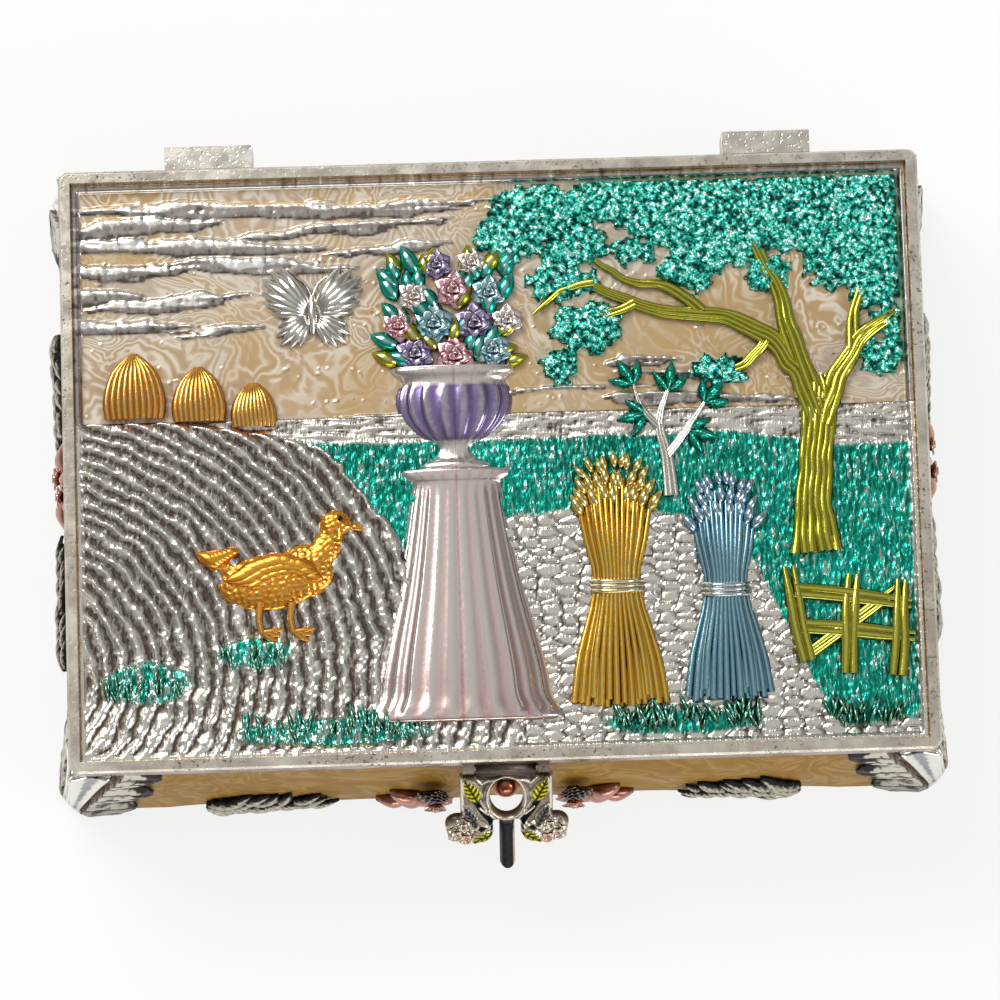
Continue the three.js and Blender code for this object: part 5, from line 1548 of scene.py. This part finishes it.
def spray(name, wall, side, seed):
    dice = random.Random(seed)
    bm = bmesh.new()
    paint_layers(bm)
    corner = WALLS[wall][1] / 2 - SPRAY_START
    for offset, lift, count, size, splay in SPRAY_ROWS:
        for k in range(count):
            far = SPRAY_LENGTH * (k + 0.5) / count + dice.uniform(-0.3, 0.3)
            narrow = 1 - 0.4 * (far / SPRAY_LENGTH) ** 2
            turn = math.pi / 2 + splay * dice.uniform(0.6, 1.4) + dice.uniform(-0.28, 0.28)
            frond(bm, side * (corner - far), SPRAY_HEIGHT + offset * narrow, lift + 0.12 + dice.uniform(0, 0.2),
                  size * narrow * dice.uniform(0.8, 1.1), side * turn, 0.52)
    bend_to_wall(bm, wall)
    bmesh.ops.recalc_face_normals(bm, faces=bm.faces)
    return finish_piece("leaf_" + name, bm, spray_silver, "base", [name])


for wall in WALLS:
    for end, side in (("right", 1), ("left", -1)):
        spray("spray_%s_%s" % (wall, end), wall, side, len(wall) + 10 * side)

# %% [markdown]
# The flowers are copper-red lacquer with bright petal edges. At the front each has a dark green hop
# cone beside it, whose scales overlap like roof tiles.

# %% Flower clusters
COPPER = (0.36, 0.10, 0.055)
PALE_COPPER = (0.62, 0.36, 0.28)
CONE_GREEN = (0.012, 0.020, 0.012)
FLOWER_OFFSET, FLOWER_HEIGHT = 9.9, 7.6
copper_paint = lacquered("copper_lacquer", (0.70, 0.50, 0.42), (0.08, 0.03, 0.02), 0.2)


def flower(bm, x, y, z, size, dice, colour=COPPER):
    for ring, (count, reach, lift) in enumerate(((6, 1.0, 0.0), (5, 0.72, 0.5), (4, 0.45, 0.9))):
        for k in range(count):
            turn = 2 * math.pi * (k + 0.4 * ring) / count + dice.uniform(-0.12, 0.12)
            spread = (size * reach, size * reach, size * 0.9)
            new = stamp(bm, scale_mesh, placed(x, y, z + lift, turn, spread, side=0.5 * ring + 0.15))
            tinted(bm, new, colour if ring < 2 else PALE_COPPER, 0.85)


def hop_cone(bm, x, y, z, turn, length, dice):
    base = Vector((x, y, z))
    along = Vector((-math.sin(turn), math.cos(turn), 0))
    across = Vector((math.cos(turn), math.sin(turn), 0))
    for ring in range(6):
        t = ring / 6
        radius = 1.25 * math.sin(math.pi * (0.25 + 0.65 * t))
        for k in range(5):
            angle = math.pi * (k + 0.5 * (ring % 2)) / 4.5 - 0.1
            round_it = across * (0.75 * math.cos(angle)) + Vector((0, 0, 0.8 * math.sin(angle)))
            place = base + along * (length * t * 0.8) + round_it * radius + Vector((0, 0, 0.2))
            new = stamp(bm, scale_mesh, placed(*place, turn - 0.5 * math.cos(angle), (1.7, 1.9, 1.6), side=0.35))
            tinted(bm, new, CONE_GREEN, 0.97)


def cluster(name, wall, parts, stands_for, seed):
    dice = random.Random(seed)
    bm = bmesh.new()
    paint_layers(bm)
    for kind, x, y, z, size, turn in parts:
        if kind == "flower":
            flower(bm, x, y, z, size, dice)
        elif kind == "cone":
            hop_cone(bm, x, y, z, turn, size, dice)
        else:
            leaf(bm, x, y, z, size, turn, COPPER if kind == "leaf" else CONE_GREEN, 0.7, fat=0.9, height=1.3)
    bend_to_wall(bm, wall)
    bmesh.ops.recalc_face_normals(bm, faces=bm.faces)
    return finish_piece(name, bm, copper_paint, "base", [stands_for])


for end, side in (("right", 1), ("left", -1)):
    x, y = side * FLOWER_OFFSET, FLOWER_HEIGHT
    cluster("front_flower_" + end, "front",
            [("leaf", x - side * 1.0, y + 1.2, 0.3, 5.4, -side * 1.9), ("leaf", x + side * 1, y - 1.0, 0.2, 5.6, -side * 1.35),
             ("leaf", x + side * 2, y + 0.6, 0.3, 5.4, -side * 1.05), ("leaf", x + side * 3.6, y - 0.6, 0.2, 5.0, -side * 1.6),
             ("flower", x, y, 0.6, 2.9, 0), ("cone", x - side * 0.4, y + 3.0, 0.6, 5.6, -side * 0.35)],
            "flower_front_" + end, 21 + side)
for wall in ("right", "back", "left"):
    cluster("wall_flowers_" + wall, wall,
            [("leaf", 1, 20, 0.2, 6.6, -1.2), ("leaf", -1, 20, 0.2, 6.6, 1.1), ("leaf", 0, 22, 0.2, 5.5, 0.2), ("leaf", 2.0, 25, 0.2, 4.6, -0.9),
             ("flower", -1.3, 20, 0.5, 2.9, 0), ("flower", 2.0, 24.3, 0.5, 2.6, 0)], "flowers_" + wall, 31)

# %% [markdown]
# ## The hasp
#
# The hasp is the box's finest casting: a plate with a boss round the eye, two leafy stems that climb
# its sides, curled leaves for wings, and a thumb tab. It is drawn in its own plane, x across, y up
# from the pivot and z out of its face, with fine ribs from height functions, and cut out along a
# smooth outline. One matrix then stands it on its pivot at the angle where it rests.

# %% The hasp's plane
hasp_low, hasp_high = (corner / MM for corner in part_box("hasp"))
HASP_PIVOT = Vector((0.0, MIDDLE_Y - 44.7, 30.0))
HASP_TILT = math.radians(48)
s48, c48 = math.sin(HASP_TILT), math.cos(HASP_TILT)
HASP_PLANE = Matrix.Translation(HASP_PIVOT) @ Matrix(((1, 0, 0, 0), (0, s48, -c48, 0), (0, c48, s48, 0), (0, 0, 0, 1)))
HASP_BACK = -0.7
EYE_MIDDLE, EYE_X, EYE_Y = -5.35, 2.45, 3.35
print("hasp from %.1f to %.1f mm high" % (hasp_low.z, hasp_high.z))


def ellipse(x, y, cx, cy, rx, ry):
    return (1 - np.hypot((x - cx) / rx, (y - cy) / ry)) * min(rx, ry)


def bar(x, y, x0, y0, x1, y1, r0, r1):
    t = np.clip(((x - x0) * (x1 - x0) + (y - y0) * (y1 - y0)) / ((x1 - x0) ** 2 + (y1 - y0) ** 2), 0, 1)
    return r0 + (r1 - r0) * t - np.hypot(x - x0 - t * (x1 - x0), y - y0 - t * (y1 - y0))


def hasp_outline(x, y):
    """Positive inside the hasp, in millimetres from its edge."""
    side = np.abs(x)
    plate = np.minimum(6.85 - side, np.minimum(-1.5 - y, y + 9.8))
    shape = np.maximum(plate, ellipse(x, y, 0, EYE_MIDDLE, 4.1, 4.4))
    shape = np.maximum(shape, ellipse(side, y, 5.4, -11.3, 3.6, 2.5))
    shape = np.maximum(shape, ellipse(side, y, 4.0, -11.0, 2.2, 2.8))
    shape = np.maximum(shape, ellipse(side, y, 7.3, -10.6, 1.85, 1.8))
    notch = np.minimum(2.02 - side, -9.9 - y)
    shape = np.minimum(shape, -notch)
    tab = np.minimum(1.15 - side, np.minimum(y + 17.6, -8 - y))
    shape = np.maximum(shape, np.maximum(tab, ellipse(x, y, 0, -17.6, 1.15, 1.15)))
    eye = ellipse(x, y, 0, EYE_MIDDLE, EYE_X, EYE_Y)
    return np.minimum(shape, -eye)


def smooth_edge(bm, outline, reach=0.5, step=0.02):
    """Slides the rim's points onto the outline, so that the cut edge is smooth."""
    rim = [vert for vert in bm.verts if vert.is_boundary]
    for _ in range(3):
        x = np.array([vert.co.x for vert in rim])
        y = np.array([vert.co.y for vert in rim])
        here = outline(x, y)
        slope_x = (outline(x + step, y) - here) / step
        slope_y = (outline(x, y + step) - here) / step
        steep = np.maximum(slope_x ** 2 + slope_y ** 2, 0.2)
        for i, vert in enumerate(rim):
            move = max(-reach, min(reach, here[i] / steep[i]))
            vert.co.x -= move * slope_x[i]
            vert.co.y -= move * slope_y[i]


# %% [markdown]
# The face of the hasp is one height function: a plain plate with bright raised edges, a boss with a
# rim round the eye, an arched rib above it, stems and veined leaves at the sides, ruffled wings, and
# the thumb tab with a rounded back. Each feature adds its height, and says how bright or how coloured
# the metal is there. The petals of the wings are stamped on top, because they are undercut.

# %% The hasp's face
TAUPE = (0.20, 0.165, 0.14)
LEAF_GREEN = (0.42, 0.40, 0.025)
STEM_BLUE = (0.05, 0.055, 0.07)
TAB_BLUE = (0.010, 0.012, 0.020)
WING_CREAM = (0.60, 0.50, 0.40)
#            base          tip          width  colour      cover of its face
HASP_LEAVES = (((4.2, -5.9), (6.15, -1.7), 2.5, LEAF_GREEN, 1.0), ((4.5, -10.3), (6.35, -6.5), 1.9, STEM_BLUE, 0.9),
               ((2.2, -11.7), (5.3, -13.3), 2.4, LEAF_GREEN, 1.0), ((5.0, -11.4), (7.6, -9.3), 1.7, WING_CREAM, 0.3))
HASP_STEMS = (((4.5, -6.0), (3.6, -7.7), (2.4, -9.4), (1.95, -10.8)), ((4.5, -10.2), (3.4, -10.9), (2.4, -10.9)))
HASP_RIBS = (((0.0, -1.75), (1.4, -1.85), (2.7, -2.15), (3.6, -2.75)), ((3.6, -2.75), (4.6, -1.6)),
             ((4.0, -7.0), (2.8, -8.2), (2.35, -6.8)))


def line_distance(x, y, points):
    away = np.full(x.shape, 99.0)
    for (x0, y0), (x1, y1) in zip(points, points[1:]):
        away = np.minimum(away, -bar(x, y, x0, y0, x1, y1, 0, 0))
    return away


def leaf_marks(x, y, base, tip, width):
    """How far inside a leaf a point is, in mm, and whether it is on one of its veins."""
    length = math.dist(base, tip)
    dx, dy = (tip[0] - base[0]) / length, (tip[1] - base[1]) / length
    along = (x - base[0]) * dx + (y - base[1]) * dy
    across = np.abs((x - base[0]) * dy - (y - base[1]) * dx)
    t = np.clip(along / length, 0, 1)
    inside = width * 1.28 * np.sqrt(t) * (1 - t) ** 0.8 - across
    inside = np.where((along > 0) & (along < length), inside, -1)
    veins = ease((np.cos(2 * math.pi * (along - 0.8 * across) / 0.85) - 0.35) / 0.4)
    return inside, np.maximum(veins, ease((0.16 - across) / 0.08))


def lean_to(value, target, share):
    return value + (np.asarray(target) - value) * (share[:, None] if value.ndim == 2 else share)


def hasp_face(x, y):
    side = np.abs(x)
    around = np.hypot(x / EYE_X, (y - EYE_MIDDLE) / EYE_Y)
    height = 0.42 + 0.22 * ease(ellipse(x, y, 0, EYE_MIDDLE, 3.9, 4.5) / 0.5)
    rise = np.full(x.shape, 0.45) + 0.25 * (drift(x * 1.3, y * 1.3, 41, 3) - 0.5)
    colours, cover = np.tile(TAUPE, (len(x), 1)), np.full(x.shape, 0.95)
    wing = ease((-9.4 - y) / 0.9) * ease((side - 1.9) / 0.5)
    swell = np.sqrt(np.clip(ellipse(side, y, 5.4, -11.3, 4.0, 2.9) / 2.0, 0, 1))
    folds = 0.5 + 0.5 * np.cos(side * 3.1 + 2.2 * y + 1.8 * np.sin(y * 1.7) + 2.0 * drift(x, y, 44, 2))
    height = lean_to(height, 0.30 + 0.9 * swell * (0.62 + 0.38 * folds), wing)
    rise = lean_to(rise, 0.05 + 0.9 * folds * swell, wing)
    copper = ease((-12.6 - y) / 0.5)
    colours = lean_to(colours, WING_CREAM, wing)
    colours = lean_to(colours, COPPER, wing * copper)
    cover = lean_to(cover, 0.35 + 0.5 * copper, wing)
    for path in HASP_STEMS:
        away = line_distance(side, y, path)
        height += 0.25 * ease((0.75 - away) / 0.3)
        colours = lean_to(colours, STEM_BLUE, ease((0.6 - away) / 0.15))
        rise = np.maximum(rise - 0.3 * ease((0.6 - away) / 0.1), np.exp(-((away - 0.62) / 0.13) ** 2))
        cover -= 0.8 * np.exp(-((away - 0.62) / 0.13) ** 2)
    for base, tip, width, colour, lacquer in HASP_LEAVES:
        inside, veins = leaf_marks(side, y, base, tip, width)
        on_it = ease(inside / 0.15)
        edge = np.exp(-((inside - 0.14) / 0.13) ** 2)
        height = lean_to(height, np.maximum(height, 0.62) + 0.35 * ease(inside / 0.4) - 0.12 * veins, on_it)
        colours = lean_to(colours, colour, on_it)
        colours = lean_to(colours, (0.03, 0.035, 0.02), on_it * veins * 0.85 * (1 - edge))
        rise = lean_to(rise, 0.62 - 0.4 * veins + 0.5 * edge, on_it)
        cover = lean_to(cover, lacquer * (1 - 0.75 * edge), on_it)
    ribs = np.exp(-((around - 1.13) / 0.07) ** 2) + np.exp(-((side - 6.55) / 0.2) ** 2) * ease((y + 9.6) / 0.8)
    for path in HASP_RIBS:
        ribs = np.maximum(ribs, np.exp(-(line_distance(side, y, path) / 0.17) ** 2))
    ribs = np.clip(ribs, 0, 1) * (1 - wing)
    tab = ease((1.3 - side) / 0.1) * ease((-9.4 - y) / 0.8)
    height = height + 0.24 * ribs
    height = lean_to(height, 0.15 + 0.75 * np.sqrt(np.clip(1 - (side / 1.3) ** 2, 0, 1)), tab)
    # Painted highlight: the thumb tab is lighter and reddish along its right edge.
    rise = lean_to(np.maximum(rise, ribs), 0.45 + 0.5 * ease((x - 0.75) / 0.2), tab)
    colours = lean_to(colours, TAB_BLUE, tab)
    colours = lean_to(colours, (0.16, 0.075, 0.06), tab * ease((x - 0.7) / 0.2))
    return height, np.clip(rise, 0, 1), colours, np.clip(lean_to(cover - 0.85 * ribs, 0.98, tab), 0, 1)


def in_field(bm, outline, margin):
    """Deletes the points outside an outline and packs the mesh anew."""
    at = outline(np.array([v.co.x for v in bm.verts]), np.array([v.co.y for v in bm.verts]))
    bmesh.ops.delete(bm, geom=[v for v, inside in zip(list(bm.verts), at) if inside < -margin], context="VERTS")
    bmesh.ops.delete(bm, geom=[v for v in bm.verts if not v.link_faces], context="VERTS")
    return reopened(bm)


def thicken_down(bm, back):
    """Makes an open sheet, with its holes, into a solid with a flat back."""
    top = list(bm.faces)
    copied = bmesh.ops.extrude_face_region(bm, geom=top, use_keep_orig=True)["geom"]
    for item in copied:
        if isinstance(item, bmesh.types.BMVert):
            item.co.z = back
    bmesh.ops.recalc_face_normals(bm, faces=bm.faces)


sheet = bmesh.new()
bmesh.ops.create_grid(sheet, x_segments=150, y_segments=136, size=0.5)
bmesh.ops.transform(sheet, matrix=placed(0, -10.05, 0, scale=(19.2, 17.8, 1)), verts=sheet.verts)
hasp = in_field(sheet, hasp_outline, 0.02)
smooth_edge(hasp, hasp_outline)
points_x = np.array([vert.co.x for vert in hasp.verts])
points_y = np.array([vert.co.y for vert in hasp.verts])
height, rise, colours, cover = hasp_face(points_x, points_y)
rounding = np.sqrt(np.clip(hasp_outline(points_x, points_y) / 0.45, 0, 1))
lacquer_layer, rise_layer = paint_layers(hasp)
for i, vert in enumerate(hasp.verts):
    vert.co.z = -0.25 + (height[i] + 0.25) * rounding[i]
    vert[rise_layer] = rise[i]
    vert[lacquer_layer] = (*colours[i], cover[i])
thicken_down(hasp, HASP_BACK)
hasp = reopened(hasp)
print("hasp face:", len(hasp.faces), "faces")

# %% Ruffled petals and the knuckle of the hasp
dice = random.Random(77)
for side in (1, -1):
    for x, y, size in ((7.45, -11.6, 1.65), (6.0, -12.3, 1.5), (6.4, -10.2, 1.3)):
        rose(hasp, side * x, y, 0.75, size, WING_CREAM if y > -12 else PALE_COPPER, dice, rings=2)
knuckle = bmesh.ops.create_cone(hasp, cap_ends=True, segments=28, radius1=1.1, radius2=1.1, depth=8.8,
                                matrix=Matrix.Rotation(math.pi / 2, 4, "Y"))["verts"]
neck = bmesh.ops.create_cube(hasp, size=1, matrix=placed(0, -1.1, -0.1, scale=(8.8, 1.9, 1.1)))["verts"]
paint(hasp, knuckle + neck, TAUPE, 0.95, 0.35)
bmesh.ops.transform(hasp, matrix=HASP_PLANE, verts=hasp.verts)
bmesh.ops.recalc_face_normals(hasp, faces=hasp.faces)
hasp_paint = lacquered("hasp_lacquer", (0.80, 0.74, 0.62), (0.03, 0.026, 0.024), 0.3, coat=0.0)
hasp_piece = finish_piece("leafy_hasp", hasp, hasp_paint, "hasp", ["hasp"])
# %% [markdown]
# ## Velvet lining
#
# Inside, five velvet-covered boards line the body and one lines the lid. Cloth that is glued over a
# thin board is rounded at the edges and slightly swollen between them. Each pad starts as a merged
# copy of its board, cut into a fine grid with bisect_plane. Its sharp edges are bevelled, and the side
# that faces the room inside swells a little. The board is only 1 mm thick, so nothing is simulated.

# %% Velvet pads
PAD_SWELL = 0.45
PAD_STEP = 2.2


def velvet_pad(name, body, inward):
    """A soft copy of a lining board; inward is the direction of its side that shows."""
    bm = merged_copy(name)
    low, high = (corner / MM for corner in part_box(name))
    round_edges(bm, 0.3, 3)
    for axis in range(3):
        length = high[axis] - low[axis]
        for k in range(1, int(length / PAD_STEP)):
            spot, normal = Vector((0, 0, 0)), Vector((0, 0, 0))
            spot[axis], normal[axis] = low[axis] + length * k / int(length / PAD_STEP), 1
            bmesh.ops.bisect_plane(bm, geom=bm.verts[:] + bm.edges[:] + bm.faces[:], plane_co=spot, plane_no=normal, dist=1e-4)
    bmesh.ops.recalc_face_normals(bm, faces=bm.faces)
    bm.normal_update()
    wide = [axis for axis in range(3) if abs(inward[axis]) < 0.5]
    for vert in bm.verts:
        facing = max(0.0, vert.normal.dot(inward))
        edge = min(min(vert.co[axis] - low[axis], high[axis] - vert.co[axis]) for axis in wide)
        swell = PAD_SWELL * min(1.0, max(0.0, edge - 1.2) / 4) ** 0.5 * facing ** 4
        wave = 0.06 * math.sin(vert.co[wide[0]] * 0.33) * math.sin(vert.co[wide[1]] * 0.41)
        vert.co += inward * (swell + wave * facing ** 4 * min(1.0, edge / 3))
    pad = finish_piece("velvet_" + name, bm, velvet, body, [name])
    return pad


velvet_pad("lining_floor", "base", Vector((0, 0, 1)))
velvet_pad("lining_left", "base", Vector((1, 0, 0)))
velvet_pad("lining_right", "base", Vector((-1, 0, 0)))
velvet_pad("lining_front", "base", Vector((0, 1, 0)))
velvet_pad("lining_back", "base", Vector((0, -1, 0)))
velvet_pad("lid_lining", "lid", Vector((0, 0, -1)))
